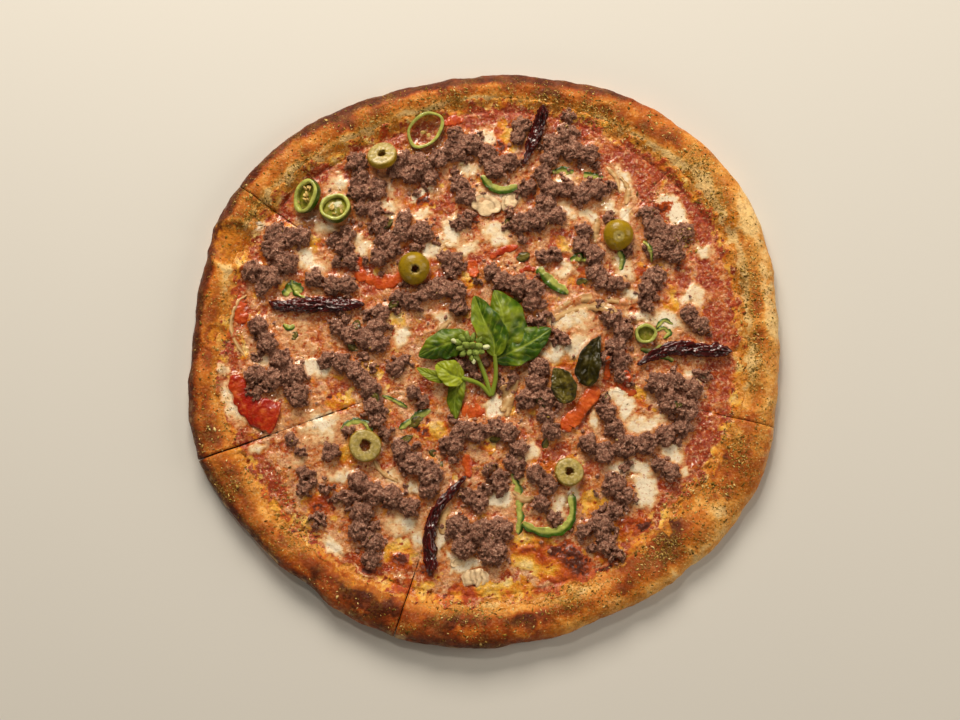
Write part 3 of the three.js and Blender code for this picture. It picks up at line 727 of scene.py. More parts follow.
def paint_crust(p):
    """Bread baked from cream to brown, with painted light and shade, freckled, sauced at its foot, dark below
    its edge.
    """
    detail = p.noise(380.0, 5.0)
    # The browning carries painted shade on the outer edge and painted light on the inner slope.
    level = p.jittered(p.mask("baked"), detail, 0.08)
    colour = p.shades(level, *BREAD_SHADES)
    slope = p.stepped(p.jittered(p.mask("cheesy"), detail, 0.2), 0.2, 0.9)
    yellow = p.math("SUBTRACT", p.math("ADD", detail, 0.1), p.times(level, 0.4))
    colour = p.over(slope, colour, p.shades(yellow, *SLOPE_SHADES))
    stain = p.stepped(p.jittered(p.mask("sauced"), detail, 0.25), 0.15, 0.85)
    colour = p.over(stain, colour, p.shades(detail, (0.3, "b85408"), (0.65, "dc8c22")))
    colour = p.speckled(colour, "c46c40", 0.35, 0.009, 0.5, 0.3)
    colour = p.speckled(colour, "8a4212", 0.45, 0.0017, 0.3, 0.1)
    light = p.math("SUBTRACT", 0.5, p.times(level, 0.5))
    colour = p.speckled(colour, "f0c88c", light, 0.0012, 0.36, 0.08)
    for size, share, strength, stops in HERB_DUST:
        dust = p.times(p.specks(size, share, 0.05), p.mask("herby"))
        colour = p.over(p.times(dust, strength), colour, p.shades(detail, *stops))
    colour = p.speckled(colour, "dcbc88", p.mask("under"), 0.006, 0.5, 0.25)
    colour = p.over(p.mask("charred"), colour, "2e160c")
    creamy = p.stepped(p.jittered(p.mask("creamy"), detail, 0.3), 0.3, 0.8)
    colour = p.over(creamy, colour, p.shades(detail, (0.35, "d8ac6c"), (0.6, "f2dcb0")))
    gloss = p.specks(0.004, 0.55, 0.25)
    relief = p.bumped(p.grain(0.0016, 0.35), 0.0008, p.bumped(p.grain(0.0006, 0.4), 0.0001))
    return {"Base Color": colour, "Roughness": p.spread(gloss, 0.6, 0.25), "Normal": relief}


def paint_crumb(p):
    """The open, pale inside of the bread."""
    colour = p.speckled(p.mottled("e6cf9f", 0.004, 0.5), "b98f58", 0.5, 0.0016, 0.6, 0.1)
    return p.grained(colour, 0.0012, 0.6, 0.0006)


def make_crust():
    """The bread of every slice."""
    stuff = finish("baked_crust", paint_crust), finish("bread_crumb", paint_crumb, 0.8)
    return [
        shown(f"crust_{i}", crust_slice(i - 1), "crust", *stuff, replaces=[f"dough_slice_{i}"])
        for i in SLICES
    ]


# ---- Sauce and melted cheese ---------------------------------------------------------------------

TOP_STEP = 0.78 * MM
CHEESE_LEVEL = 7.9 * MM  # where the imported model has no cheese
# White mozzarella that melted in pools, as for patches().
MOZZARELLA = [
    (-53, 81, 9, 4, 10), (-49, 75, 4.5, 8, -5), (-50, 88, 4, 4), (-62, 57, 5, 6), (-66, 63, 3, 3),
    (-93, 52, 6, 5), (-88, 46, 7, 5, -20), (-83, 69, 8, 4, -10), (-77, 91, 6, 5), (-18, 66, 6, 8, 20),
    (-10, 58, 7, 4), (-33, 86, 7, 3, 15), (-33, 75, 5, 3), (-96, 13, 8, 8), (-44, 12, 5, 5), (-112, 0, 7, 3),
    (-3, 83, 9, 5), (9, 84, 8, 4), (73, 91, 4, 10, 12), (66, 79, 5, 4), (72, 74, 4, 4), (43, 77, 6, 4, -30),
    (39, 91, 5, 4), (5, 66, 7, 5), (48, 8, 6, 6), (44, 21, 12, 6), (80, 22, 6, 3), (93, 20, 9, 5),
    (41, 45, 4, 4), (76, 34, 5, 4), (108, 33, 5, 5), (99, 75, 4, 7, 40), (71, 49, 4, 8),
    (113, 55, 6, 2.5, -12), (-86, -36, 12, 9), (-77, -30, 4, 3), (-73, -60, 7, 4), (-98, -52, 5, 7),
    (-118, -45, 5, 4), (-42, -85, 9, 6), (-35, -92, 4, 5), (-23, -93, 3.5, 12), (-22, -86, 4, 5),
    (-9, -105, 9, 3), (-86, -4, 10, 5), (82, -67, 7, 9, 10), (75, -55, 12, 4, 10), (93, -47, 8, 3, -35),
    (101, -57, 3, 3), (83, -33, 11, 3.5, 10), (67, -19, 7, 3), (73, -26, 4, 6), (56, -33, 3, 6, -15),
    (104, -10, 4, 4), (38, -76, 4, 7), (0, 115, 6, 4), (-7, 98, 5, 4), (-21, 20, 5, 6), (-60, -93, 3, 3),
    (-48, -60, 6, 4), (4, -24, 5, 5), (22, -48, 6, 4), (-14, -104, 4, 6), (36, 2, 6, 4), (-35, -68, 5, 3),
    (7, -72, 6, 4), (-118, 70, 4, 3, 40), (-38, 45, 5, 3), (46, -68, 4, 5), (-27, 57, 5, 5), (63, 90, 4, 3),
    (111, -10, 3, 3), (54, 74, 5, 3), (94, 82, 5, 3),
]
# Cheese browned to orange.
TOASTED = [
    (10, 112, 6, 9), (9, 119, 5, 5), (25, -97, 13, 9), (30, -104, 15, 6), (72, -88, 8, 7, 30),
    (80, -84, 8, 4, 40), (-27, -37, 8, 5), (-60, -7, 7, 5), (-43, -101, 9, 8), (-52, -113, 9, 4, -20),
    (-85, -74, 8, 5), (35, 24, 6, 4, 30), (-40, 83, 5, 3, 20), (-33, 80, 8, 3), (41, -1, 7, 5),
    (95, -48, 4, 6, 30), (85, 45, 8, 4), (60, -80, 5, 9), (52, -72, 5, 8, 10), (-110, 52, 5, 5),
    (-90, 60, 7, 4), (2, -43, 4, 6), (-75, -23, 9, 4), (4, -118, 24, 5), (40, -111, 14, 4, 8),
    (-35, -116, 8, 4, -15), (95, 30, 5, 8), (118, -30, 4, 5), (-126, 8, 3, 8), (-45, 20, 6, 5),
    (-24, 55, 4, 8, -30), (38, 60, 7, 4), (52, 44, 4, 6), (-8, 40, 7, 4), (-102, 68, 6, 4), (-70, -50, 5, 5),
    (78, -20, 7, 4, -20), (30, -55, 6, 4), (-94, -85, 7, 4, -30), (63, -100, 8, 4, 20), (88, 92, 6, 4, -30),
]
# Pools of tomato sauce.
SAUCED = [
    (72, 108, 14, 8, -35), (90, 92, 10, 8, -50), (84, 100, 12, 5, -40), (108, 78, 5, 9, 20), (118, 40, 6, 14),
    (119, -5, 7, 18), (116, -28, 8, 10, 20), (113, -44, 9, 7, 40), (102, 40, 5, 8), (120, 18, 5, 10),
    (96, -66, 8, 6, 40), (80, -92, 8, 4, 40), (-8, 124, 14, 5), (-22, 121, 5, 6), (-46, 113, 8, 4, 10),
    (-33, 117, 5, 6), (-78, 98, 8, 4, 30), (-88, 87, 5, 8, 10), (-103, 80, 6, 5), (-105, 75, 4, 4),
    (-126, 24, 5, 8), (-128, 2, 4, 10), (-128, -12, 4, 7), (-109, -60, 4, 10, 10), (-116, -50, 4, 6),
    (-104, -72, 5, 5), (-55, 38, 12, 6), (-68, 46, 4, 7), (3, 57, 12, 4, 20), (-6, 47, 4, 7), (-2, -25, 7, 6),
    (30, -47, 12, 5), (68, -10, 9, 6), (46, -30, 8, 6, 30), (-10, -55, 5, 7), (-45, -107, 9, 4, -20),
    (-30, -110, 5, 6), (12, 70, 9, 6), (-22, 76, 6, 9), (-10, 74, 8, 6), (-40, 55, 6, 4), (40, 63, 8, 5),
    (56, 73, 5, 4), (95, 35, 6, 4), (40, 120, 5, 4), (-18, 84, 5, 5), (2, 95, 5, 5), (-95, -8, 3, 8),
    (-52, -52, 7, 4), (55, -60, 4, 8), (18, -50, 5, 4), (5, -72, 3, 4), (-118, -65, 3, 5, 30),
    (-62, 42, 6, 4), (20, 60, 6, 4),
]
# Places burnt to dark brown.
BURNT = [
    (46, -104, 8, 6, -45), (38, -98, 5, 4), (-42, -102, 4, 3.5), (-28, -107, 3, 6), (-78, 29, 12, 3),
    (8, 112, 3, 3), (-31, 82, 4, 2), (-22, 40, 5, 2), (60, -108, 5, 2, 20), (66, -103, 4, 2, 30),
    (-84, -77, 4, 3), (80, -86, 3, 3), (-60, -105, 6, 3, -30), (-32, -38, 3, 2), (90, 78, 6, 3),
]
# Round blisters of cheese: x, y, radius and height.
BLISTERS = [
    (-42, -102, 5, 1.2), (-30, -104, 3, 0.8), (-55, -96, 3, 0.8), (8, 112, 5, 0.9), (25, -94, 5, 0.9),
    (45, -103, 6, 1.1), (-27, -37, 4, 0.8), (-60, -6, 3.5, 0.8), (46, -100, 4, 0.8), (70, -86, 4, 0.8),
    (-40, 18, 4, 0.7), (44, 50, 4, 0.7), (-8, 42, 4, 0.7), (86, 46, 4, 0.7), (-104, 66, 4, 0.7),
    (-90, -84, 4, 0.8), (0, -116, 4, 0.7), (16, -112, 3, 0.7),
]
# How wide the ring of bare sauce inside the rim is, in millimetres, by direction.
SAUCE_BAND = [
    (0, 12), (20, 15), (32, 18), (45, 24), (56, 20), (72, 10), (86, 8), (104, 9), (118, 3), (134, 5),
    (150, 2), (168, 6), (182, 8), (200, 3), (215, 7), (232, 2), (250, 1), (262, 0), (300, 0), (318, 9),
    (336, 14),
]
# The film of cheese from bare sauce to thick, its browned places, and the white pools from thin to thick.
FILM_SHADES = [
    (0, "962a04"), (0.18, "ae3c08"), (0.36, "be520e"), (0.55, "d0782e"), (0.75, "dc9858"), (1, "eebc8c"),
]
TOAST_SHADES = [(0.36, "a83a02"), (0.44, "d0660a"), (0.51, "e89a20"), (0.58, "f4bc48"), (0.68, "f8d88c")]
MILKY_SHADES = [(0.25, "d08444"), (0.45, "de9e68"), (0.65, "ebc08c"), (0.85, "f3d6aa"), (1, "fbecd0")]
# Curds and oil in the film of cheese: size, share, strength and colour.
FILM_SPOTS = [
    (0.0068, 0.42, 0.55, "e0a040"), (0.0036, 0.5, 0.55, "e2a87c"), (0.0027, 0.42, 0.55, "c4540c"),
    (0.0019, 0.42, 0.65, "f2cca8"), (0.0011, 0.4, 0.5, "b4460c"),
]
# Oil and shreds of cheese in the bare sauce as well; the palest specks are partly painted highlights of oil.
SAUCE_SPOTS = [
    (0.0042, 0.4, 0.5, "c86410"), (0.0024, 0.42, 0.6, "8c2406"), (0.0016, 0.4, 0.7, "f0bc8c"),
    (0.0009, 0.4, 0.5, "8a2a06"),
]


def around_toppings(points, spacing):
    """How close each point of a grid is to lying under a topping, from 0 to 1, by rows."""
    tops = [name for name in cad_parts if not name.startswith(("dough", "cheese", "basil"))]
    under = ~np.isnan(heights(cad_tree(tops), points.reshape(-1, 3)))
    field = under.reshape(points.shape[:2]).astype(float)
    kernel = np.exp(-0.5 * (np.arange(-6, 7) * spacing / (1.3 * MM)) ** 2)
    for axis in (0, 1):
        field = np.apply_along_axis(np.convolve, axis, field, kernel / kernel.sum(), "same")
    return field


def melted_top(crust):
    """The sheet of sauce and cheese over the whole pizza, as points on a grid, with what each is made of."""
    low, high = CAD_BOX
    xs, ys = (np.arange(low[k] + 0.01, high[k] - 0.01, TOP_STEP) for k in (0, 1))
    grid = np.stack([*np.meshgrid(xs, ys, indexing="ij"), np.zeros((len(xs), len(ys)))], axis=-1)
    reach, turn = polar(grid)
    foot = around(FOOT, turn)
    inside = reach < foot + 9 * MM
    close = around_toppings(grid, TOP_STEP)[inside]
    flat, reach, turn, foot = grid[inside], reach[inside], turn[inside], foot[inside]
    rim = np.nan_to_num(heights(tree_of(crust), flat), nan=BASE_LEVEL)
    bed = np.nan_to_num(heights(cad_tree(named("cheese")), flat), nan=CHEESE_LEVEL)

    slow = np.stack([rough(flat, 8 * MM, 3, s) for s in (1.0, 9.0)], axis=1)
    quick = np.stack([rough(flat, 2.6 * MM, 2, s) for s in (4.0, 14.0)], axis=1)
    stirred = lift(flat[:, :2] + (1.9 * slow + 0.8 * quick) * MM)
    marble = rough(stirred, 9 * MM, 4, 31.0)
    veins = 1 - 2.4 * np.abs(rough(stirred, 7 * MM, 3, 41.0))
    spots = rough(flat, 2.4 * MM, 3, 51.0)
    fine = rough(flat, 1.25 * MM, 2, 81.0)
    thick = 0.95 + 0.3 * rough(flat, 30 * MM, 2, 65.0) + 0.25 * ramp(flat[:, 0], -60 * MM, 20 * MM)
    pool = patches(stirred, MOZZARELLA, 0.85) * thick
    pool = np.clip(pool + 0.1 * spots + 0.04 * fine + 0.14 * marble, 0, 1)
    gold = patches(stirred, TOASTED) + 0.7 * ramp(rough(flat, 6 * MM, 3, 61.0), 0.35, 1.0)
    band = turning(SAUCE_BAND, turn) * MM
    ring = ramp(reach - foot + band + 2.4 * MM * slow[:, 0], -2.5 * MM, 3 * MM) * (band > 0.5 * MM)
    bare = np.clip(0.8 * ring + 0.75 * patches(stirred, SAUCED), 0, 1)
    cream = patches(stirred, CREAM_PATCHES, 0.5)
    pool = np.maximum(pool, 0.85 * cream + 0.1 * spots)
    film = 0.66 + 0.42 * marble + 0.14 * veins - 0.62 * bare
    film = np.clip(film + 0.5 * pool + 0.09 * spots + 0.05 * fine, 0, 1)
    gold = np.clip(gold * (1 - 0.9 * pool) * (1 - 0.6 * bare), 0, 1)
    burnt = patches(stirred, BURNT, 0.7) * ramp(spots, -1.5, -0.1)
    burnt += 0.8 * ramp(rough(flat, 3.0 * MM, 3, 71.0), 0.85, 1.3) * (1 - 0.95 * pool)
    blister = ramp(rough(flat, 5 * MM, 2, 91.0), 0.25, 0.9)

    up = bed + MM * (
        0.6 * ramp(pool, 0.2, 0.9) + 0.35 * film - 0.1 * bare + (0.5 * blister + 0.22 * veins) * (1 - pool)
        + (0.24 - 0.17 * pool - 0.06 * bare) * spots + (0.17 - 0.13 * pool - 0.05 * bare) * fine
        + 0.9 * ramp(close, 0.05, 0.6)
    )
    for at_x, at_y, size, rise in BLISTERS:
        off = np.hypot(*(stirred[:, :2] - from_middle(at_x, at_y)[:2]).T) / (size * MM)
        up += rise * MM * np.sqrt(np.clip(1 - off**2, 0, 1))
    beyond = reach - foot
    # Up the slope of the rim the sheet thins out, until it dips below the bread.
    cover = 1.1 - 0.2 * np.maximum(beyond, -4 * MM) / MM + 0.55 * slow[:, 1] + 0.3 * quick[:, 0]
    cover += 1.2 * cream - 2.5 * ramp(beyond, 6 * MM, 8.5 * MM)
    climb = ramp(beyond, -3.5 * MM, 0.5 * MM)
    relief = (0.2 * spots + 0.14 * fine) * ramp(cover, 0.0, 1.0)
    slope = rim + MM * (cover + relief)
    up = 0.5 * (up + slope + np.hypot(up - slope, 1.2 * MM)) - 0.3 * MM * (1 - climb)
    up += np.where(cover < 0.3, climb * (slope - up), 0)
    grid[inside, 2] = up
    kept = np.zeros(inside.shape, bool)
    kept[inside] = up > rim - 0.5 * MM
    thin = climb * (1 - ramp(cover + 0.25 * spots, 0.1, 1.0)) * (1 - cream)
    rimmed = ramp(beyond + 2 * MM * slow[:, 0], -3.5 * MM, 2 * MM)
    gold = np.maximum(gold, 0.85 * rimmed * ramp(marble, -0.7, 0.3) * (1 - cream))
    oily = ramp(close + 0.1 * spots, 0.02, 0.4) * (1 - 0.3 * pool)
    masks = {"pool": pool, "film": film, "gold": gold, "burnt": burnt, "thin": thin, "oily": oily}
    masks["foot"] = ramp(beyond, -5 * MM, -1 * MM)
    fields = {}
    for name, values in masks.items():
        fields[name] = np.zeros(inside.shape)
        fields[name][inside] = np.clip(values, 0, 1)
    return grid, kept, fields


def cheese_slice(number, grid, kept, fields):
    """The part of the sheet on one slice, cut straight down and closed below."""
    start, end = CUTS[number], CUTS[number + 1]
    reach, turn = polar(grid)
    outside = np.abs(off_heading(turn, (start + end) / 2)) - (end - start) / 2
    wide = np.radians(np.clip(outside, 0, 90)) * reach < 2 * TOP_STEP
    used = kept & (wide | (reach < 3 * TOP_STEP))
    at = np.cumsum(used.ravel()).reshape(used.shape) - 1
    full = used[:-1, :-1] & used[1:, :-1] & used[1:, 1:] & used[:-1, 1:]
    faces = np.column_stack([at[:-1, :-1][full], at[1:, :-1][full], at[1:, 1:][full], at[:-1, 1:][full]])
    masks = {mask: field[used] for mask, field in fields.items()}
    mesh = mesh_of(f"cheese_{number + 1}", grid[used], faces, masks)
    with editing(mesh) as bm:
        sides = [(number, start, into_slice(start, 1)), ((number + 1) % len(SPANS), end, into_slice(end, -1))]
        for _, _, inward in sides:
            everything = [*bm.verts, *bm.edges, *bm.faces]
            cut = {"plane_co": (*MIDDLE, 0), "plane_no": (*-inward, 0), "clear_outer": True}
            bmesh.ops.bisect_plane(bm, geom=everything, dist=1e-7, **cut)
        bmesh.ops.delete(bm, geom=[v for v in bm.verts if not v.link_faces], context="VERTS")
        points = np.array([v.co for v in bm.verts])
        reach, turn = polar(points)
        to_edge = around(EDGE, turn) - reach
        bridged = ramp(to_edge, 26 * MM, 34 * MM)
        bridged *= ramp(rough(lift(points[:, :2]), 5 * MM, 2, 33.0), -0.5, 0.5)
        for cut, direction, inward in sides:
            from_cut = np.radians(np.abs(off_heading(turn, direction))) * reach
            opened = ramp(-to_edge, -(OPEN_CUTS[cut] + 6) * MM, -(OPEN_CUTS[cut] - 4) * MM)
            opened *= (1 - 0.85 * bridged) * CUT_HALF_WIDTHS[cut]
            near = np.exp(-((from_cut / (1.2 * MM)) ** 2))
            points[:, :2] += (near * opened)[:, None] * inward
            points[:, 2] -= near * (0.05 * MM + 1.55 * opened) * ramp(reach, 20 * MM, 60 * MM)
        for v, p in zip(bm.verts, points):
            v.co = p
        rim = [e for e in bm.edges if len(e.link_faces) == 1]
        wall = bmesh.ops.extrude_edge_only(bm, edges=rim)["geom"]
        verts, edges, faces = ([g for g in wall if isinstance(g, kind)] for kind in MESH_PARTS)
        for v in verts:
            v.co.z = BASE_LEVEL + 0.1 * MM
        for face in [*faces, *bmesh.ops.holes_fill(bm, edges=edges, sides=0)["faces"]]:
            face.smooth = False
        bmesh.ops.recalc_face_normals(bm, faces=bm.faces)
    return mesh


def paint_top(p):
    """Sauce with cheese melted over it: white pools, a marbled film, browned and burnt spots, and oil."""
    fine, wisps = p.noise(700.0, 4.0, Roughness=0.6), p.noise(260.0, 4.0, Distortion=0.8)
    slow = p.noise(90.0, 2.0)
    film = p.jittered(p.jittered(p.mask("film"), wisps, 0.16), fine, 0.2)
    colour = p.shades(film, *FILM_SHADES)
    covered = p.math("ADD", p.stepped(film, 0.05, 0.4), 0.2)
    for size, share, strength, code in FILM_SPOTS:
        spots = p.times(p.specks(size, share, 0.2), strength)
        colour = p.over(p.times(spots, covered), colour, code)
    # Spots on the bare sauce; the pale ones are partly painted highlights of oil.
    for size, share, strength, code in SAUCE_SPOTS:
        colour = p.speckled(colour, code, strength, size, share, 0.12)
    gold = p.stepped(p.jittered(p.mask("gold"), wisps, 0.2), 0.25, 0.75)
    colour = p.over(gold, colour, p.shades(p.jittered(slow, fine, 0.05), *TOAST_SHADES))
    pool = p.jittered(p.jittered(p.jittered(p.mask("pool"), wisps, 0.12), fine, 0.05), slow, 0.14)
    colour = p.over(p.stepped(pool, 0.1, 0.75), colour, p.shades(pool, *MILKY_SHADES))
    oily = p.times(p.stepped(p.jittered(p.mask("oily"), wisps, 0.25), 0.1, 0.8), 0.6)
    colour = p.over(oily, colour, p.shades(fine, (0.35, "9a4008"), (0.55, "c87020"), (0.7, "dc9840")))
    flecks = p.times(p.specks(0.0019, 0.2, 0.08), 0.55)
    thin = p.math("SUBTRACT", 1.0, p.stepped(pool, 0.3, 0.8))
    colour = p.over(p.times(flecks, thin), colour, "8e3a12")
    edge = p.stepped(p.jittered(p.mask("thin"), wisps, 0.25), 0.2, 0.8)
    colour = p.over(edge, colour, p.shades(fine, *SLOPE_SHADES))
    burnt = p.jittered(p.mask("burnt"), fine, 0.25)
    colour = p.over(p.stepped(burnt, 0.02, 0.35), colour, "b84a08")
    colour = p.over(p.stepped(burnt, 0.3, 0.9), colour, "5c2410")
    smooth = p.spread(p.mask("pool"), 1.0, 0.3)
    coarse = p.bumped(p.times(p.grain(0.0014, 0.3), smooth), 0.0008)
    relief = p.bumped(p.times(p.grain(0.0006, 0.2), smooth), 0.0002, coarse)
    oil, foot = p.specks(0.006, 0.95, 0.3), p.mask("foot")
    dull = p.math("ADD", p.spread(oil, 0.35, 0.16), p.times(foot, 0.3))
    coat = p.times(oil, p.math("SUBTRACT", 1.0, p.times(foot, 0.85)))
    return {"Base Color": colour, "Roughness": dull, "Normal": relief, "Coat Weight": coat}


def make_top(crust):
    """The sauce and cheese of every slice."""
    sheet = melted_top(crust)
    melted = finish("melted_cheese_and_sauce", paint_top, 0.4, coat_roughness=0.08, specular=0.4)
    return [
        shown(f"cheese_{i}", cheese_slice(i - 1, *sheet), "cheese", melted, replaces=[f"cheese_slice_{i}"])
        for i in SLICES
    ]


# ---- Shapes for toppings -------------------------------------------------------------------------


def ball(divisions):
    """The corners and faces of a ball of radius 1."""
    bm = bmesh.new()
    bmesh.ops.create_icosphere(bm, subdivisions=divisions, radius=1)
    points = np.array([v.co for v in bm.verts])
    faces = np.array([[v.index for v in f.verts] for f in bm.faces])
    bm.free()
    return points, faces


def turns_of(rng, count):
    """Random turns, as matrices."""
    w, x, y, z = (q := rng.normal(size=(4, count))) / np.linalg.norm(q, axis=0)
    rows = [
        [1 - 2 * (y * y + z * z), 2 * (x * y - z * w), 2 * (x * z + y * w)],
        [2 * (x * y + z * w), 1 - 2 * (x * x + z * z), 2 * (y * z - x * w)],
        [2 * (x * z - y * w), 2 * (y * z + x * w), 1 - 2 * (x * x + y * y)],
    ]
    return np.moveaxis(np.array(rows), 2, 0)


def copies(shape, places, sizes, turns):
    """Many copies of one shape, as corners and faces: each is sized, turned and put in its place."""
    points, faces = shape
    out = np.einsum("nij,nkj->nki", turns, points[None] * sizes[:, None, :]) + places[:, None, :]
    starts = len(points) * np.arange(len(places))
    return out.reshape(-1, 3), (faces[None] + starts[:, None, None]).reshape(-1, faces.shape[1])


def swept(centres, sections, ring=False, sideways=None):
    """A closed skin through outlines that stand across a line: sections[place, corner] is (aside, up)."""
    centres = np.asarray(centres, float)
    along = np.gradient(centres, axis=0)
    if ring:
        along = np.roll(centres, -1, axis=0) - np.roll(centres, 1, axis=0)
    side = np.cross(along, (0, 0, 1)) if sideways is None else sideways
    side = side / np.linalg.norm(side, axis=1, keepdims=True)
    up = np.cross(side, along)
    up /= np.linalg.norm(up, axis=1, keepdims=True)
    points = centres[:, None] + sections[..., :1] * side[:, None] + sections[..., 1:] * up[:, None]
    count, corners = points.shape[:2]
    flat = points.reshape(-1, 3)
    if ring:
        return flat, net(count, corners, ring=True, closed=True).tolist()
    return np.vstack([flat, points[0].mean(axis=0), points[-1].mean(axis=0)]), tube(count, corners)


def oval(count, wide, high, square=1.0):
    """A row of closed outlines, one for each width and height. square under 1 flattens their sides."""
    unit = heading(circle(count))
    wide, high = np.broadcast_arrays(np.atleast_1d(wide), np.atleast_1d(high))
    return np.stack([wide, high], axis=1)[:, None] * (np.sign(unit) * np.abs(unit) ** square)


def joined(parts):
    """Several shapes as one: their corners, faces and masks end to end."""
    points, faces, masks = [], [], {}
    base = 0
    for part in parts:
        points.append(part[0])
        faces.extend([[base + i for i in face] for face in part[1]])
        for name, values in (part[2] if len(part) > 2 else {}).items():
            masks.setdefault(name, []).append(values)
        base += len(part[0])
    return np.concatenate(points), faces, {name: np.concatenate(values) for name, values in masks.items()}


def skin_of(name, count=6000):
    """Points spread evenly over a CAD node's surface."""
    rng = np.random.default_rng(5)
    corners = corners_of(name)
    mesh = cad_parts[name].data
    mesh.calc_loop_triangles()
    a, b, c = (corners[[t.vertices[k] for t in mesh.loop_triangles]] for k in range(3))
    area = np.linalg.norm(np.cross(b - a, c - a), axis=1)
    pick = rng.choice(len(area), count, p=area / area.sum())
    s, t = rng.random((2, count, 1))
    s, t = np.where(s + t > 1, 1 - s, s), np.where(s + t > 1, 1 - t, t)
    return a[pick] + s * (b[pick] - a[pick]) + t * (c[pick] - a[pick])


def spine_of(name, stations, step=1.2 * MM, reach=9 * MM):
    """The middle line of a long CAD piece from end to end, with half its width and height."""
    cloud = skin_of(name)
    here = cloud[np.argmax(np.linalg.norm(cloud - cloud.mean(axis=0), axis=1))]
    near = cloud[np.linalg.norm(cloud - here, axis=1) < 5 * MM].mean(axis=0)
    way = (near - here) / np.linalg.norm(near - here)
    line, halves = [here], [(0.5 * MM, 0.5 * MM)]
    while len(line) < 200:
        ahead = line[-1] + step * way
        off = cloud - ahead
        found = cloud[(np.abs(off @ way) < 0.7 * step) & (np.linalg.norm(off, axis=1) < reach)]
        if len(found) < 12:
            break
        middle = (found.min(axis=0) + found.max(axis=0)) / 2 * 0.3 + found.mean(axis=0) * 0.7
        turned = 0.55 * way + 0.45 * (middle - line[-1]) / (np.linalg.norm(middle - line[-1]) + 1e-9)
        way = turned / np.linalg.norm(turned)
        side = np.cross(way, (0, 0, 1))
        side /= np.linalg.norm(side)
        across = (found - middle) @ side
        upward = (found - middle)[:, 2]
        line.append(middle)
        halves.append(((across.max() - across.min()) / 2, (upward.max() - upward.min()) / 2))
    line, halves = np.array(line), np.array(halves)
    return evenly(np.column_stack([smoothed(line), smoothed(halves)]), stations)


def smoothed(rows, passes=3):
    """Rows of numbers with their jitter taken out. The first and last stay."""
    rows = np.array(rows, float)
    for _ in range(passes):
        rows[1:-1] = (rows[:-2] + 2 * rows[1:-1] + rows[2:]) / 4
    return rows


def evenly(rows, count):
    """Rows resampled at even steps along the line that their first three numbers make."""
    rows = np.asarray(rows, float)
    run = np.append(0, np.cumsum(np.linalg.norm(np.diff(rows[:, :3], axis=0), axis=1)))
    at = np.linspace(0, run[-1], count)
    return np.column_stack([np.interp(at, run, rows[:, k]) for k in range(rows.shape[1])])


def curve(knots, count):
    """A smooth line through a few points, at even steps."""
    knots = np.asarray(knots, float)
    ends = [2 * knots[0] - knots[1], *knots, 2 * knots[-1] - knots[-2]]
    fine = []
    for a, b, c, d in zip(ends, ends[1:], ends[2:], ends[3:]):
        t = np.linspace(0, 1, 24, endpoint=False)[:, None]
        bent = (2 * a - 5 * b + 4 * c - d) * t**2 + (3 * b - a - 3 * c + d) * t**3
        fine.append(0.5 * (2 * b + (c - a) * t + bent))
    return evenly(np.concatenate([*fine, knots[-1:]]), count)


def lie_of(name):
    """How a flat round CAD piece lies: its middle, its axes (long, cross, up) and half its size on each."""
    cloud = skin_of(name)
    middle = cloud.mean(axis=0)
    axes = np.linalg.svd(cloud - middle, full_matrices=False)[2]
    if axes[2, 2] < 0:
        axes[2] *= -1
    axes[1] = np.cross(axes[2], axes[0])
    local = (cloud - middle) @ axes.T
    low, high = local.min(axis=0), local.max(axis=0)
    middle = middle + ((low + high) / 2) @ axes
    return middle, axes, (high - low) / 2


def piece(name, slot, parts, material, replaces=()):
    """A piece of the pizza from closed shapes, with its faces turned outwards."""
    mesh = mesh_of(name, *joined(parts))
    with editing(mesh) as bm:
        bmesh.ops.recalc_face_normals(bm, faces=bm.faces)
    return shown(name, mesh, slot, material, replaces=replaces)


# ---- Minced beef ---------------------------------------------------------------------------------

# Small clumps that lie apart from the heaps: (x, y, radius).
SMALL_CLUMPS = [
    (-9, 72, 5), (-14, 70, 4), (-20, 51, 5), (-14, 50, 5), (-17, 45, 4.5), (44, 126, 4.5), (22, 89, 4.5),
    (18, 86, 3.5), (13, 76, 3), (65, 73, 3.5), (30, 53, 4.5), (36, 54, 4), (27, 19, 4.5), (32, 21, 3.5),
    (36, 11, 4.5), (41, 10, 3.5), (64, 0, 5), (113, -9, 3.5), (66, -101, 5), (35, -82, 4.5), (4, -58, 5),
    (7, -65, 5.5), (1, -67, 4), (-2, -75, 4.5), (-46, -4, 5), (-41, -2, 4), (-82, -1, 4.5), (-37, -17, 4.5),
    (-33, -22, 4), (-100, -41, 3.5), (-94.5, -48, 3), (-79, -48, 5.5), (-70, -37, 3.5), (-91, -60, 5.5),
    (-92, -67, 4.5), (-81, -65, 4), (-77, -72, 3.5), (-71, -71, 4), (-50, -38, 4.5), (-86, -83, 4.5),
    (-6, -71, 4.5), (-10, -69, 3.5), (-13, -3, 5), (-8, -4, 4), (-119, -17, 5), (-115, -14, 5), (-35, 57, 4),
    (-78, 62, 4), (69, 60, 4.5), (73, 57, 4), (12, -9, 4.5), (9, -15, 3), (-4, -8, 3.5),
]
BEEF_GRAIN = 1.5 * MM
BEEF_VOXEL = 0.55 * MM
BEEF_FLOOR = 6.7 * MM  # just below the lowest sauce
CHUNK = 5.5 * MM
HEAP_TRIANGLES, CLUMP_TRIANGLES = 195000, 80000
FEWEST_FACES = 60  # of a crumb that is kept


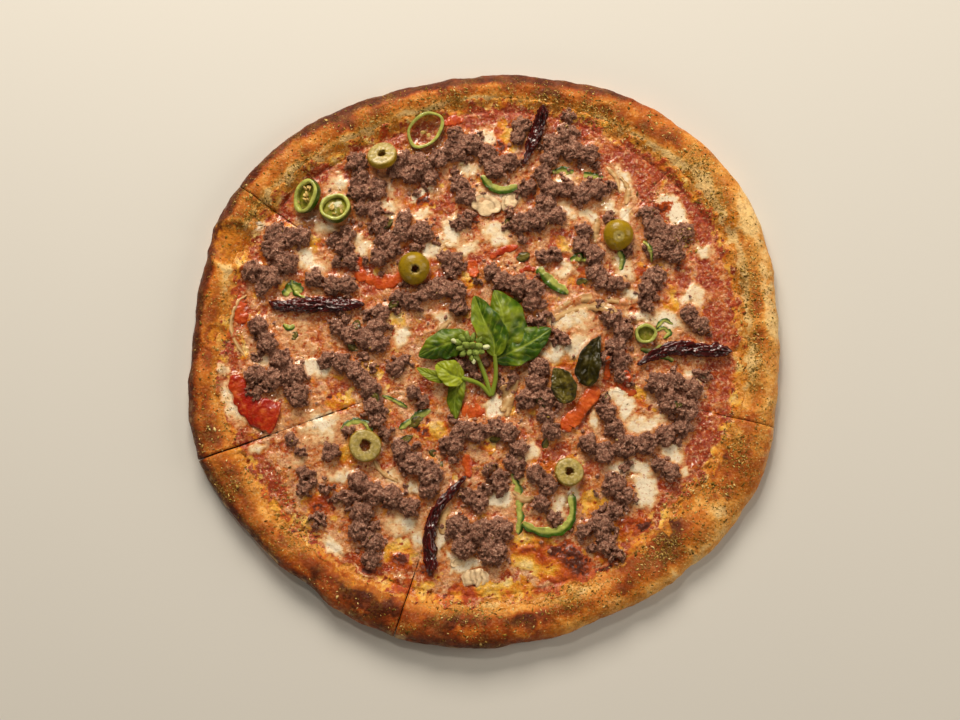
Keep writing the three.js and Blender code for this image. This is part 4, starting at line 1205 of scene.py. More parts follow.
def heap_tops(rng):
    """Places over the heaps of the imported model, and the heights of their tops."""
    low, high = CAD_BOX
    xs, ys = (np.arange(low[k], high[k], BEEF_GRAIN) for k in (0, 1))
    flat = np.stack(np.meshgrid(xs, ys), axis=-1).reshape(-1, 2)
    flat = flat + rng.uniform(-0.45, 0.45, flat.shape) * BEEF_GRAIN
    tops = np.nan_to_num(heights(cad_tree(named("beef")), flat))
    tops += 0.7 * MM * rough(lift(flat), 6 * MM, 2, 12.0)
    kept = tops > BEEF_FLOOR + MM * (1.9 + 1.3 * rough(lift(flat), 5 * MM, 2, 22.0))
    return flat[kept], tops[kept]


def fragments(rng, count):
    """Small fragments just outside the heaps, as (x, y, radius)."""
    heaps = cad_tree(named("beef"))
    flat = MIDDLE + rng.uniform(-125, 125, (6000, 2)) * MM
    away = rng.uniform(2, 5, len(flat)) * MM
    beside = flat + away[:, None] * heading(rng.random(len(flat)) * 2 * np.pi)
    found = np.isnan(heights(heaps, flat)) & ~np.isnan(heights(heaps, beside))
    found &= polar(flat)[0] < around(FOOT, polar(flat)[1]) - 6 * MM
    places = (flat[found][:count] - MIDDLE) / MM
    return [(x, y, size) for (x, y), size in zip(places, rng.uniform(1.6, 3.0, count))]


def clump_tops(rng):
    """Places over the small clumps and fragments, and the heights of their tops."""
    flat, tops = [], []
    for x, y, size in [*SMALL_CLUMPS, *fragments(rng, 110)]:
        away = np.sqrt(rng.random(int(size * size * 0.9)))
        way = heading(rng.random(len(away)) * 2 * np.pi)
        flat.append(from_middle(x, y)[:2] + MM * size * away[:, None] * way)
        tops.append(CHEESE_LEVEL + MM * (1.4 + (0.5 * size + 1.2) * np.sqrt(1.05 - away**2)))
    return np.concatenate(flat), np.concatenate(tops)


def balls_below(flat, tops, rng):
    """The middles and radii of balls that fill the space below some tops, of uneven size on top."""
    size = rng.uniform(0.7, 1.2, len(flat)) * MM
    places, radii = [np.column_stack([flat, tops - size * rng.uniform(0.5, 1.0, len(flat))])], [size]
    for layer in range(1, 6):
        deeper = tops - (0.9 + 1.6 * layer) * MM
        used = deeper > BEEF_FLOOR - 1.2 * MM
        places.append(np.column_stack([flat, deeper])[used])
        radii.append(np.full(used.sum(), 1.45 * MM))
    return np.concatenate(places), np.concatenate(radii)


def changed(mesh, kind, **settings):
    """A mesh as a modifier leaves it."""
    holder = bpy.data.objects.new("holder", mesh)
    bpy.context.scene.collection.objects.link(holder)
    modifier = holder.modifiers.new("change", kind)
    for name, value in settings.items():
        setattr(modifier, name, value)
    made = bpy.data.meshes.new_from_object(holder.evaluated_get(bpy.context.evaluated_depsgraph_get()))
    bpy.data.objects.remove(holder)
    bpy.data.meshes.remove(mesh)
    return made


def crumbled(points):
    """How far each point of the beef lies in a gap between chunks and between grains, and how rough it is."""
    stirred = points + 1.2 * MM * rough(points, 4 * MM, 2, 6.0)[:, None]
    near = [noise.voronoi(p)[0][:2] for p in (stirred / CHUNK).tolist()]
    gap = 1 - ramp([b - a for a, b in near], 0.02, 0.22)
    grain = np.array([noise.voronoi(p)[0][0] for p in (points / (1.15 * MM)).tolist()])
    return gap, grain, rough(points, 0.9 * MM, 3, 2.0)


def without_scraps(mesh):
    """Takes away the parts of a mesh that only line a hollow, and those of too few faces."""
    with editing(mesh) as bm:
        waiting, scraps = set(bm.faces), []
        while waiting:
            front, part, volume = [waiting.pop()], [], 0.0
            while front:
                face = front.pop()
                part.append(face)
                a, b, c = (v.co for v in face.verts)
                volume += a.dot(b.cross(c))
                beside = {f for e in face.edges for f in e.link_faces} & waiting
                waiting -= beside
                front.extend(beside)
            if volume <= 0 or len(part) < FEWEST_FACES:
                scraps.extend(part)
        bmesh.ops.delete(bm, geom=scraps, context="FACES")


def beef_mesh(name, flat, tops, triangles, rng):
    """Crumbled beef below some tops, closed below the sauce, thinned to a number of triangles."""
    places, radii = balls_below(flat, tops, rng)
    sizes = radii[:, None] * rng.uniform(0.8, 1.25, (len(radii), 3))
    balls = mesh_of("overlapping", *copies(ball(2), places, sizes, turns_of(rng, len(radii))))
    mesh = changed(balls, "REMESH", mode="VOXEL", voxel_size=BEEF_VOXEL)
    points, facing = read(mesh), read(mesh, "normal")
    gap, grain, fine = crumbled(points)
    points += facing * MM * (0.35 * (0.42 - grain) - 0.95 * gap + 0.3 * fine)[:, None]
    mesh.vertices.foreach_set("co", points.ravel())
    with editing(mesh) as bm:
        everything = [*bm.verts, *bm.edges, *bm.faces]
        cut = {"plane_co": (0, 0, BEEF_FLOOR), "plane_no": (0, 0, 1), "clear_inner": True}
        bmesh.ops.bisect_plane(bm, geom=everything, **cut)
        bmesh.ops.holes_fill(bm, edges=[e for e in bm.edges if len(e.link_faces) == 1], sides=0)
        bmesh.ops.triangulate(bm, faces=bm.faces)
    mesh = changed(mesh, "DECIMATE", ratio=min(1.0, triangles / len(mesh.polygons)))
    without_scraps(mesh)
    mesh.name = name
    gap, grain, fine = crumbled(read(mesh))
    # Painted shade: darker in the gaps between chunks and between grains.
    carry(mesh, {"crevice": np.maximum(0.7 * ramp(grain - 0.25 * fine, 0.3, 0.75), gap)})
    mesh.shade_smooth()
    return mesh


def paint_beef(p):
    """Cooked mince: grey-brown grains with a paler top, and painted shade darkening the gaps between them."""
    fine = p.noise(1200.0, 4.0, Roughness=0.7)
    tones = p.shades(fine, (0.3, "5c2a16"), (0.43, "966450"), (0.57, "c09078"), (0.7, "ecc8b4"))
    # The gaps take painted shade.
    colour = p.stained(p.mottled(tones, 0.006, 0.4), "401604", "crevice", 0.75)
    return p.grained(colour, 0.0007, 0.5, 0.0008)


def make_beef():
    """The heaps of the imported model, and the clumps and fragments that are too small for it."""
    rng = np.random.default_rng(11)
    beef = finish("minced_beef", paint_beef, 0.52)
    heaps = beef_mesh("minced_beef", *heap_tops(rng), HEAP_TRIANGLES, rng)
    clumps = beef_mesh("small_beef_clumps", *clump_tops(rng), CLUMP_TRIANGLES, rng)
    return [
        shown("minced_beef", heaps, "beef", beef, replaces=named("beef")),
        shown("small_beef_clumps", clumps, "beef", beef),
    ]


# ---- Chillies, peppers, onion and mushroom -------------------------------------------------------

MOIST = {"coat": 0.6, "coat_roughness": 0.12}
CHILLI_SIDES = 56
RING_SIDES = 20
RING_STATIONS = 96
# Thin strips that lie flat: the line from end to end, and the width and thickness.
GREEN_STRIPS = [
    ([(13.6, -59), (17, -66), (18.4, -78), (17, -90)], 4.6, 0.9), ([(35, 97), (40, 98), (46, 97)], 4.2, 0.8),
    ([(51, 96), (56, 95), (61, 94)], 4.4, 0.8), ([(44, 51), (48, 52.5), (52, 51)], 3.6, 1.2),
    ([(-104, 33), (-99, 38), (-94, 35)], 5.5, 1.3), ([(-100, 41), (-98, 35), (-93, 31)], 3.5, 1.2),
    ([(-74, -36), (-68, -32), (-61, -33), (-58, -38)], 3.4, 1.0),
    ([(-53, -19), (-47, -21), (-40, -25)], 2.2, 1.2),
    ([(87, 14), (91.5, 16), (95, 13.5), (92, 10.5)], 2.2, 1.0), ([(70, 46), (71, 52), (69, 56)], 3.0, 1.0),
    ([(89, 3), (93, 1), (97, -1)], 3.5, 1.0), ([(88, 16), (92, 20), (97, 18)], 2.4, 1.0),
    ([(80, 5), (86, 4), (91, 7)], 2.6, 1.0), ([(82, 61), (85, 56), (86, 50)], 2.4, 1.2),
    ([(-44, -36), (-36, -30), (-28, -26)], 4.0, 1.0), ([(-104, 18), (-101, 16), (-98, 17)], 3.0, 1.2),
]
RED_STRIPS = [
    ([(-127, 33), (-127, 26), (-125, 18)], 8.0, 0.9, 0.4),
    ([(-65, 53), (-65.5, 47), (-63, 40)], 5.5, 1.3, 0.3),
    ([(-62, 42), (-54, 40), (-46, 41), (-41, 44)], 8.0, 1.0, 0.2),
    ([(2.5, 52.5), (9, 56), (17, 58.5)], 4.0, 1.2, 0.6), ([(-7, 51), (-6.5, 46), (-5, 42)], 6.0, 1.2, 0.2),
    ([(63, 1), (63.5, -5), (62, -11)], 4.0, 1.2, 0.2), ([(-10, -49), (-9, -55), (-8, -61)], 4.2, 1.2, 0.3),
    ([(-12, -26), (-6, -27), (0, -26)], 8.0, 0.9, 0.1), ([(18, 45), (22, 47), (26, 46)], 3.0, 1.0, 0.5),
    ([(-22, 122), (-17, 124), (-11, 124)], 5.0, 0.9, 0.4), ([(68, -13), (74, -17), (78, -17)], 3.5, 0.9, 0.5),
    ([(72, -6), (73, -11), (70, -16)], 3.5, 1.0, 0.4),
]
ONION_STRIPS = [
    ([(-123, 33), (-128, 29), (-131, 18), (-128, 8), (-122, 0)], 2.2, 0.8),
    ([(-57, -52), (-53, -58), (-44.4, -63)], 2.6, 0.8), ([(63, 100), (68, 94), (70, 86)], 2.6, 0.8),
    ([(57, 60), (57, 66), (58, 73)], 4.5, 0.8), ([(9, -14), (12, -21), (8, -27)], 5.0, 1.0),
    ([(17, -10), (13, -20), (11, -30)], 4.0, 1.0), ([(14, -68), (20, -72), (25, -71)], 4.0, 0.8),
    ([(-18, 20), (-23, 15), (-21, 10)], 5.0, 0.8), ([(70, 95), (74, 88), (73, 80)], 3.0, 0.8),
    ([(-19, -76), (-21, -83), (-21.5, -90)], 6.0, 0.9),
    ([(34, 20), (45, 25.5), (58, 27), (68, 24)], 5.0, 0.5),
]
# Mushroom slices: place, turn in radians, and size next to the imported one.
MUSHROOMS = [(0.5, 79.5, -0.15, 1.25), (12.5, 82, 1.2, 0.95), (-14, -104, 0.5, 0.6)]
# Rows of a mushroom slice from its middle over its edge: share of its outline, height, and how brown.
MUSHROOM_ROWS = [
    (0.3, 0.8, 0), (0.46, 0.8, 0.1), (0.52, 0.72, 0.5), (0.58, 0.72, 0.5), (0.64, 0.8, 0.1), (0.85, 0.8, 0),
    (0.95, 0.6, 0.5), (1, 0.1, 1), (1, -1, 1), (0.5, -1, 1),
]
MUSHROOM_SIDES = 96
GILLS = (-5, -112, 13, 9)  # x, y, length and width
GILL_ROWS, GILL_CORNERS = 70, 30
# How the heart of a ring fills it, by the ring's number: share of its width, and of its height.
HEARTS = [(3, 0.8, 0.62), (2, 0.72, 0.35), (4, 0.75, 0.15)]
# Where seeds lie in a ring, by its number: the lowest and highest shares of its half sizes, and how many.
SEEDED = [
    (2, (-0.6, -0.5, 0.2), (0.6, 0.5, 0.6), 9),
    (3, (-0.45, -0.45, 0.45), (0.45, 0.45, 0.65), 5),
    (1, (-0.5, -0.5, -0.5), (0.5, 0.5, -0.3), 2),
]


def wrinkled_chilli(name):
    """A dried chilli: a thin, glossy, collapsed pod."""
    rows = spine_of(name, 110)
    centres, halves = rows[:, :3], rows[:, 3:]
    shape = (len(rows), CHILLI_SIDES)
    share = np.linspace(0, 1, len(rows))
    close = np.minimum(1, np.minimum(share / 0.03, (1 - share) / 0.06)) ** 0.5
    halves = np.maximum(halves, 1.1 * MM) * close[:, None]
    length = np.linalg.norm(np.diff(centres, axis=0), axis=1).sum()
    run = np.repeat(share * length / (6.5 * MM), CHILLI_SIDES)
    place = np.column_stack([np.tile(1.7 * heading(circle(CHILLI_SIDES)), (len(rows), 1)), run])
    seed = 3.0 * int(name[-1])
    folds = 1 - 2.2 * np.abs(rough(place, 1.0, 3, seed)).reshape(shape)
    creases = 1 - 2.2 * np.abs(rough(place * (2.4, 2.4, 1.6), 1.0, 2, seed + 4)).reshape(shape)
    dents = rough(place * (0.6, 0.6, 0.8), 1.0, 2, seed + 9).reshape(shape)
    sections = oval(CHILLI_SIDES, 1.02 * halves[:, 0], 0.9 * halves[:, 1])
    sections = sections * (0.92 + 0.27 * folds + 0.04 * creases + 0.28 * dents)[..., None]
    return *swept(centres, sections), {"fold": np.append(ramp(folds, 0.0, 0.8).ravel(), [0.5, 0.5])}


def paint_chilli(p):
    """A dark maroon skin with redder thin folds."""
    skin = p.stained(p.mottled("340404", 0.006, 0.7), "660f0c", "fold", 0.6)
    gloss = p.specks(0.0035, 0.55, 0.2)
    shine = {"Roughness": p.spread(gloss, 0.24, 0.1), "Coat Weight": p.spread(gloss, 0.5, 1.0)}
    return {**p.grained(skin, 0.002, 0.1, 0.00025), **shine}


def ribbon(rows, thick=None, count=24, arch=0.25, frill=0.1, seed=0.0, ripe=0.0):
    """A strip of pepper or onion along rows of (x, y, z, half width, half height), arched across.

    ripe, from 0 to 1, is how deep its red is."""
    centres, halves = rows[:, :3], rows[:, 3:]
    share = np.linspace(0, 1, len(rows))
    close = np.minimum(1, np.minimum(share, 1 - share) / 0.05) ** 0.5
    wide = halves[:, 0] * (0.35 + 0.65 * close) * (1 + frill * rough(centres, 3 * MM, 2, seed))
    high = (halves[:, 1] if thick is None else np.full(len(rows), thick / 2)) * (0.5 + 0.5 * close)
    sections = oval(count, wide, high, 0.55)
    sections[..., 1] -= arch * wide[:, None] * (sections[..., 0] / np.maximum(wide, 1e-6)[:, None]) ** 2
    points, faces = swept(centres, sections)
    points = points + 0.12 * MM * rough(points, 1.6 * MM, 2, seed + 3)[:, None]
    points[:, 2] += 0.25 * MM * rough(points, 3.5 * MM, 2, seed + 8)
    chord = centres[-1] - centres[0]
    bow = centres[len(rows) // 2] - (centres[0] + centres[-1]) / 2
    outer = 1 if np.cross(chord, bow)[2] < 0 else -1
    aside = outer * np.cos(circle(count))
    skin = np.append(np.tile(ramp(aside, -0.35, 0.35), len(rows)), [0.5, 0.5])
    return points, faces, {"skin": skin, "ripe": np.clip(ripe + 0.3 * rough(points, 6 * MM, 2, seed), 0, 1)}


def draped(tree, line, width, thick, ripe=0.0, seed=0.0):
    """A thin strip that follows what it lies on, a little sunk into it."""
    flat = curve([from_middle(x, y) for x, y in line], 40)
    flat[:, 2] = smoothed(np.nan_to_num(heights(tree, flat), nan=CHEESE_LEVEL), 12)
    flat[:, 2] += (0.25 * thick - 0.15) * MM
    share = np.linspace(0, 1, len(flat))
    half = width / 2 * MM * (0.45 + 0.55 * np.sin(np.pi * np.clip(share, 0.02, 0.98)) ** 0.5)
    rows = np.column_stack([flat, half, np.full(len(flat), thick / 2 * MM)])
    return ribbon(rows, count=18, arch=0.12, frill=0.3, seed=seed, ripe=ripe)


def paint_green(p):
    """A glossy green skin over paler flesh."""
    flesh, skin = p.mottled("b0b458", 0.003, 0.8), p.mottled("365404", 0.004, 0.9)
    colour = p.over(p.stepped(p.mask("skin"), 0.3, 1.0), flesh, skin)
    return p.grained(p.speckled(colour, "6a4a18", 0.35, 0.0035, 0.3, 0.2), 0.0012, 0.25, 0.0004)


def paint_red(p):
    """Roasted red pepper and tomato, from deep red to orange."""
    colour = p.over(p.mask("ripe"), p.mottled("cc5418", 0.003, 0.5), p.mottled("a41a02", 0.004, 0.6))
    return p.grained(p.speckled(colour, "e8803c", 0.55, 0.003, 0.5, 0.25), 0.0013, 0.3, 0.0006)


def paint_onion(p):
    """Cooked onion: cream, glassy, browned in places."""
    edge = p.math("PINGPONG", p.mask("skin"), 0.5, clamp=False)
    colour = p.over(p.times(edge, 1.6), p.mottled("bc8a54", 0.004, 0.7), "e8c690")
    return p.grained(p.speckled(colour, "dcb076", 0.5, 0.003, 0.45, 0.2), 0.0014, 0.1, 0.0002)


def paint_mushroom(p):
    """Cooked mushroom: a pale cream cut face, browner at its skin and gills."""
    colour = p.speckled(p.mottled("f0d2a6", 0.004, 0.7), "faecd0", 0.6, 0.004, 0.45, 0.3)
    colour = p.speckled(colour, "dca070", 0.5, 0.003, 0.35, 0.25)
    return p.grained(p.stained(colour, "7a4a20", "brown", 0.9), 0.001, 0.3, 0.0003)


def chilli_ring(name, waves):
    """A slice of fresh chilli: its wall as a ring, with skin outside and flesh inside."""
    middle, axes, half = lie_of(name)
    corners = (corners_of(name) - middle) @ axes.T
    hole = np.hypot(corners[:, 0] / half[0], corners[:, 1] / half[1]).min()
    turn = circle(RING_STATIONS)
    wobble = 1 + 0.03 * np.sin(3 * turn + waves) + 0.02 * np.sin(5 * turn + 2 * waves)
    wall = (1 - hole) / 2 * (half[0] + half[1]) / 2 * (1 + 0.12 * np.sin(3 * turn + 1 + waves))
    line = lift((half[:2] - wall[:, None]) * wobble[:, None] * heading(turn)) @ axes
    sideways = lift(half[[1, 0]] * heading(turn)) @ axes
    sections = oval(RING_SIDES, wall, half[2] * 0.98, 0.6)
    skin = np.tile(ramp(np.cos(circle(RING_SIDES)), 0.5, 0.9), RING_STATIONS)
    return *swept(middle + line, sections, ring=True, sideways=sideways), {"skin": skin}


def seeds_in(name, places, rng):
    """Chilli seeds in a ring, at places given as shares of its half length, width and height."""
    middle, axes, half = lie_of(name)
    at = middle + (places * half) @ axes
    turns = turns_of(rng, len(at))
    sizes = rng.uniform(0.85, 1.15, (len(at), 1)) * (1.35 * MM, 1.15 * MM, 0.5 * MM)
    return copies(ball(3), at, sizes, turns)


def heart_of(name, share, rise):
    """The soft heart that fills a ring, as a low mound."""
    middle, axes, half = lie_of(name)
    points, faces = ball(4)
    points = points * (share * half[0], share * half[1], rise * half[2])
    outward = points / np.linalg.norm(points, axis=1)[:, None]
    points += 0.4 * MM * rough(points, 2.2 * MM, 3, 4.0)[:, None] * outward
    return middle + (points - (0, 0, 0.25 * half[2])) @ axes, faces


def paint_seed(p):
    """Cream chilli seeds."""
    return p.grained(p.mottled("d8b870", 0.002, 0.5), 0.0008, 0.2, 0.0001)


def paint_heart(p):
    """The yellow-green heart of a chilli."""
    colour = p.speckled(p.mottled("7e7c1e", 0.003, 0.7), "c8a468", 0.6, 0.0022, 0.5, 0.2)
    return p.grained(colour, 0.0012, 0.3, 0.0004)


def mushroom_slice(ground, x, y, turn, size):
    """A thin slice through a mushroom: its cap with two lobes over a stub of stem, gills between them."""
    half = lie_of("mushroom")[2] * size
    a = circle(MUSHROOM_SIDES)
    notch = sum(np.exp(-(((a - at + np.pi) % (2 * np.pi) - np.pi) / 0.3) ** 2) for at in (-2.25, -0.9))
    outline = heading(a) * (half[0], 0.78 * half[1]) * (1 - 0.22 * notch)[:, None]
    c, s = math.cos(turn), math.sin(turn)
    flat = outline @ np.array([[c, s], [-s, c]])
    at = from_middle(x, y)[:2]
    shares, rises, browns = np.array(MUSHROOM_ROWS).T
    spots = np.vstack([*(at + flat * share for share in shares), at, at])
    level = np.nanmedian(heights(ground, spots[:MUSHROOM_SIDES]))
    up = np.append(np.repeat(rises, MUSHROOM_SIDES), [0.8, -1]) * 0.5 * MM
    points = lift(spots, level + 0.25 * MM + up)
    points[:, 2] += 0.5 * MM * rough(points, 5 * MM, 3, size)
    brown = np.repeat(browns, MUSHROOM_SIDES)
    brown *= np.tile(ramp(np.sin(a), -0.8, -0.3), len(MUSHROOM_ROWS))
    return points, tube(len(MUSHROOM_ROWS), MUSHROOM_SIDES), {"brown": np.append(brown, [0, 1])}


def mushroom_gills(ground, x, y, long, wide):
    """A piece of mushroom seen from below, with its gills as ridges."""
    steps = np.linspace(-1, 1, GILL_ROWS), np.linspace(-1, 1, GILL_CORNERS)
    a, b = (k.ravel() for k in np.meshgrid(*steps, indexing="ij"))
    ridges = np.abs(np.sin(7.5 * a + 0.5 * np.sin(2 * b)))
    dome = np.clip((1 - a**4) * (1 - b**4), 0, 1) ** 0.5
    outline = np.stack([a * long / 2 * (1 - 0.15 * b**2), b * wide / 2 * (1 - 0.2 * a**2)], 1)
    spots = from_middle(x, y)[:2] + MM * outline
    spots = spots + 0.7 * MM * rough(lift(spots), 4 * MM, 2, 3.0)[:, None]
    level = np.nanmedian(heights(ground, spots[::20]))
    top = lift(spots, level + MM * dome * (0.9 + 0.7 * ridges))
    points = np.vstack([top, lift(spots, level - 0.6 * MM)])
    brown = np.append(0.45 * (1 - ridges), np.ones(len(spots)))
    return points, shell(GILL_ROWS, GILL_CORNERS), {"brown": brown}


def make_vegetables(ground):
    """Dried chillies, peppers, onion, chilli rings with their hearts and seeds, and mushroom."""
    rng = np.random.default_rng(23)
    pod = finish("dried_chilli_skin", paint_chilli, 0.3, coat_roughness=0.1, specular=0.4)
    for name in named("dried_chilli"):
        piece(f"wrinkled_{name}", "dried_chilli", [wrinkled_chilli(name)], pod, replaces=[name])
    green = finish("green_chilli_skin", paint_green, 0.3, **MOIST)
    red = finish("roasted_red_pepper", paint_red, 0.3, **MOIST)
    glassy = finish("cooked_onion", paint_onion, 0.3, **MOIST)
    for i, name in enumerate(named("green_strip")):
        line = spine_of(name, 60) * (1, 1, 1, 1.3, 1)
        strip = ribbon(line, thick=1.1 * MM, arch=-0.12, frill=0.22, seed=i)
        piece(f"pepper_{name}", "green_chilli", [strip], green, replaces=[name])
    for i, name in enumerate(named("red_pepper")):
        line = spine_of(name, 60) * (1, 1, 1, 1.2, 1)
        strip = ribbon(line, thick=1.5 * MM, arch=0.1, seed=4 + i, ripe=0.9 - 0.75 * i)
        piece(f"roasted_{name}", "red_pepper", [strip], red, replaces=[name])
    line = spine_of("onion", 70) * (1, 1, 1, 1.3, 1) - (0, 0, 0.6 * MM, 0, 0)
    sliver = ribbon(line, thick=0.7 * MM, arch=0.1, seed=8)
    piece("onion_sliver", "onion", [sliver], glassy, replaces=["onion"])
    for i, name in enumerate(named("chilli_ring")):
        piece(f"fresh_{name}", "green_chilli", [chilli_ring(name, 1.7 * i)], green, replaces=[name])
    hearts = [heart_of(f"chilli_ring_{n}", share, rise) for n, share, rise in HEARTS]
    piece("chilli_hearts", "green_chilli", hearts, finish("chilli_heart", paint_heart, 0.4, **MOIST))
    seeds = [
        seeds_in(f"chilli_ring_{n}", rng.uniform(low, high, (count, 3)), rng)
        for n, low, high, count in SEEDED
    ]
    piece("chilli_seeds", "green_chilli", seeds, finish("chilli_seed", paint_seed, 0.4))
    for name, slot, strips, stuff in (
        ("thin_green_strips", "green_chilli", GREEN_STRIPS, green),
        ("thin_red_strips", "red_pepper", RED_STRIPS, red),
        ("thin_onion_strips", "onion", ONION_STRIPS, glassy),
    ):
        piece(name, slot, [draped(ground, *strip, seed=0.7 * i) for i, strip in enumerate(strips)], stuff)
    pale = finish("cooked_mushroom", paint_mushroom, 0.4, coat=0.3, coat_roughness=0.15)
    slices = [*(mushroom_slice(ground, *place) for place in MUSHROOMS), mushroom_gills(ground, *GILLS)]
    piece("mushroom_slices", "mushroom", slices, pale, replaces=["mushroom"])


# ---- Olives --------------------------------------------------------------------------------------

# The upper half of an olive slice's section as (share of its radius, share of its half height), from its
# widest place towards its hole. A ring has two cut faces. A tip is the olive's rounded end.
OLIVE_RING = [(1.0, 0.0), (0.985, 0.45), (0.94, 0.8), (0.86, 0.97), (0.7, 1.0)]
OLIVE_TIP = [(1.0, -0.85), (0.99, -0.3), (0.93, 0.15), (0.8, 0.52), (0.62, 0.8), (0.45, 0.95)]
CLOSED_TIP = "olive_3"  # the end that was not pitted
PITTED, CLOSED = 1.6 * MM, 0.15 * MM  # the smallest radius of a hole, and that of the closed tip
OLIVE_SIDES, OLIVE_CORNERS = 80, 44


def olive_slice(name):
    """A slice of a pickled olive: a ring, or a rounded end."""
    middle, axes, half = lie_of(name)
    reach = np.hypot(*((corners_of(name) - middle) @ axes.T)[:, :2].T)
    radius = reach.max()
    inner = (CLOSED if name == CLOSED_TIP else max(reach.min(), PITTED)) / radius
    domed = half[2] > 0.36 * radius
    if domed:
        hole = [(inner + 0.05, 0.98), (inner, 0.8), (inner * 0.9, -0.6), (inner, -1)]
        outer = [*OLIVE_TIP, *hole, (0.6, -1), (0.93, -1)]
    else:
        hole = [(inner + 0.06, 1), (inner, 0.9), (inner - 0.02, 0), (inner, -0.9), (inner + 0.06, -1)]
        outer = [*OLIVE_RING, *hole, *((r, -z) for r, z in OLIVE_RING[:0:-1])]
    loop = curve([(r, z, 0) for r, z in [*outer, outer[0]]], OLIVE_CORNERS + 1)[:-1, :2]
    out, up = loop.T
    a = circle(OLIVE_SIDES)
    wobble = 1 + 0.02 * np.sin(2 * a + radius * 900) + 0.012 * np.sin(3 * a + 1)
    flat = heading(a)[:, None] * (radius * out[None, :, None] * wobble[:, None, None])
    local = np.dstack([flat, np.tile(half[2] * up, (OLIVE_SIDES, 1))]).reshape(-1, 3)
    ragged = np.tile(ramp(-out, -inner - 0.16, -inner), OLIVE_SIDES)
    local += MM * ((0.1 + 0.35 * ragged) * rough(local, 2 * MM, 2, radius * 1000))[:, None]
    skin = ramp(up, -0.97, -0.8) * ramp(out, 0.3, 0.4) if domed else ramp(out, 0.9, 0.97)
    pit = ramp(-out, -inner - 0.06, -inner)
    masks = {"skin": np.tile(skin, OLIVE_SIDES), "hole": np.tile(pit, OLIVE_SIDES)}
    faces = net(OLIVE_SIDES, OLIVE_CORNERS, ring=True, closed=True)[:, [0, 3, 2, 1]]
    return middle + local @ axes, faces.tolist(), masks


def paint_olive(p):
    """Pickled green olive: olive-green skin, paler cut flesh, darker in the hole."""
    flesh = p.speckled(p.mottled("a89450", 0.002, 0.8), "dcc898", 0.6, 0.0014, 0.5, 0.2)
    colour = p.over(p.mask("skin"), flesh, p.mottled("9a7c0e", 0.004, 0.5))
    return p.grained(p.stained(colour, "8a6c28", "hole", 0.6), 0.001, 0.4, 0.0003)


def make_olives():
    """The olive slices."""
    brined = finish("pickled_olive", paint_olive, 0.34, coat=0.4, coat_roughness=0.2)
    for name in named("olive"):
        piece(f"pickled_{name}", "olive", [olive_slice(name)], brined, replaces=[name])


# ---- Basil ---------------------------------------------------------------------------------------

# Leaves of the sprig: the midrib from base to tip as (x, y, height over the sprig's foot), the width where
# it is widest, how much wider its right half is than its left one, how far its edges rise, and how pale its
# left and right halves are.
SPRIG_LEAVES = [
    ([(5, 1, 5), (4, 10, 7), (-1, 20, 8), (-5.5, 32, 6.5)], 15, 0.1, 0.3, 0.5, 0.1),
    ([(5.5, 1, 4), (8, 11, 7), (9, 22, 7.5), (4.8, 35, 6)], 20, 0.25, -0.25, 0.35, 0.3),
    ([(4.8, -1, 4), (13, 3, 6), (23, 8, 6), (34, 15.5, 4)], 18, -0.1, -0.25, 0.1, 0.0),
    ([(-7, 8, 4), (-15, 8.5, 6), (-24, 6, 6.5), (-34, 1, 3.5)], 15, 0.0, -0.25, 0.05, 0.15),
    ([(-11, -10, 3.5), (-16, -9, 5), (-20, -6.5, 5.5), (-25, -3, 4.5)], 13, 0.1, 0.2, 0.8, 0.95),
    ([(-18, -11, 4), (-23, -10, 5), (-29, -8, 5), (-35, -4.8, 4)], 5.5, 0.0, 0.2, 0.9, 0.9),
    ([(-11, -10, 3), (-14, -15, 4), (-15.5, -22, 3.5), (-15, -31, 1.8)], 8.5, 0.0, -0.3, 0.5, 0.6),
]
LEAF_SHELL = 0.3 * MM
# Stems of the sprig, from its foot, with heights over the sprig's lowest point.
SPRIG_STEMS = [
    [(3, -19, 1.5), (0, -9, 3), (-5, 3, 5.5)],
    [(3.5, -19, 1.5), (5.5, -9, 3), (5, 2, 5)],
    [(3, -19, 1.5), (-3, -13, 2.6), (-12, -10, 4.2)],
]
# Buds of the flower head: place, with its height over the sprig's lowest point, and half length.
GREEN_BUDS = [
    (-14, 8, 7, 2.3), (-11.5, 10, 7.5, 2.2), (-9, 11, 8, 2.4), (-6, 10.5, 8, 2.4), (-3, 9.5, 8, 2.3),
    (-12.5, 5, 8, 2.2), (-9.5, 6.5, 9, 2.5), (-6.5, 6.5, 9, 2.4), (-3.5, 6, 8.5, 2.3), (-11, 2.5, 7, 2.2),
    (-8, 3, 8, 2.2), (-5, 3, 8, 2.3), (-2.5, 3.5, 7.5, 2.1), (-7, 0.5, 7, 1.9), (-4.5, 0.5, 7, 1.9),
]
OPEN_BUDS = [(-15.5, 8.5, 7.5, 1.7), (0.5, 5.5, 8.2, 1.9), (-6, -1.5, 6.8, 1.6)]
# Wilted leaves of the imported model: how far the edges rise, how pale the inside is, and how far towards the
# tip they are widest.
WILTED = [(0.75, 0.2, 1.7), (0.3, 0.75, 0.8)]
# Wilted scraps of basil among the beef: x, y, length, width and turn in degrees.
LEAF_SCRAPS = [
    (20, 53, 8, 5, 20), (-35, -32, 10, 5, 40), (-25, -51, 11, 5, -55), (-40, -41, 7, 4, 30),
    (31, -44, 7, 4, 80), (29, -22, 7, 5, -60), (17, 31, 6, 4, 0), (-66, 18, 6, 4, 70), (-68, 6, 6, 4, -30),
    (62, -20, 6, 4, 60), (-50, 70, 7, 4, 40), (13, 72, 6, 4, 45), (98, -24, 6, 4, 0), (50, 40, 6, 4, 15),
    (-56, -20, 5, 4, -60), (5, -41, 6, 4, 0), (-47, 28, 6, 4, 30), (-98, 12, 5, 4, 60),
]


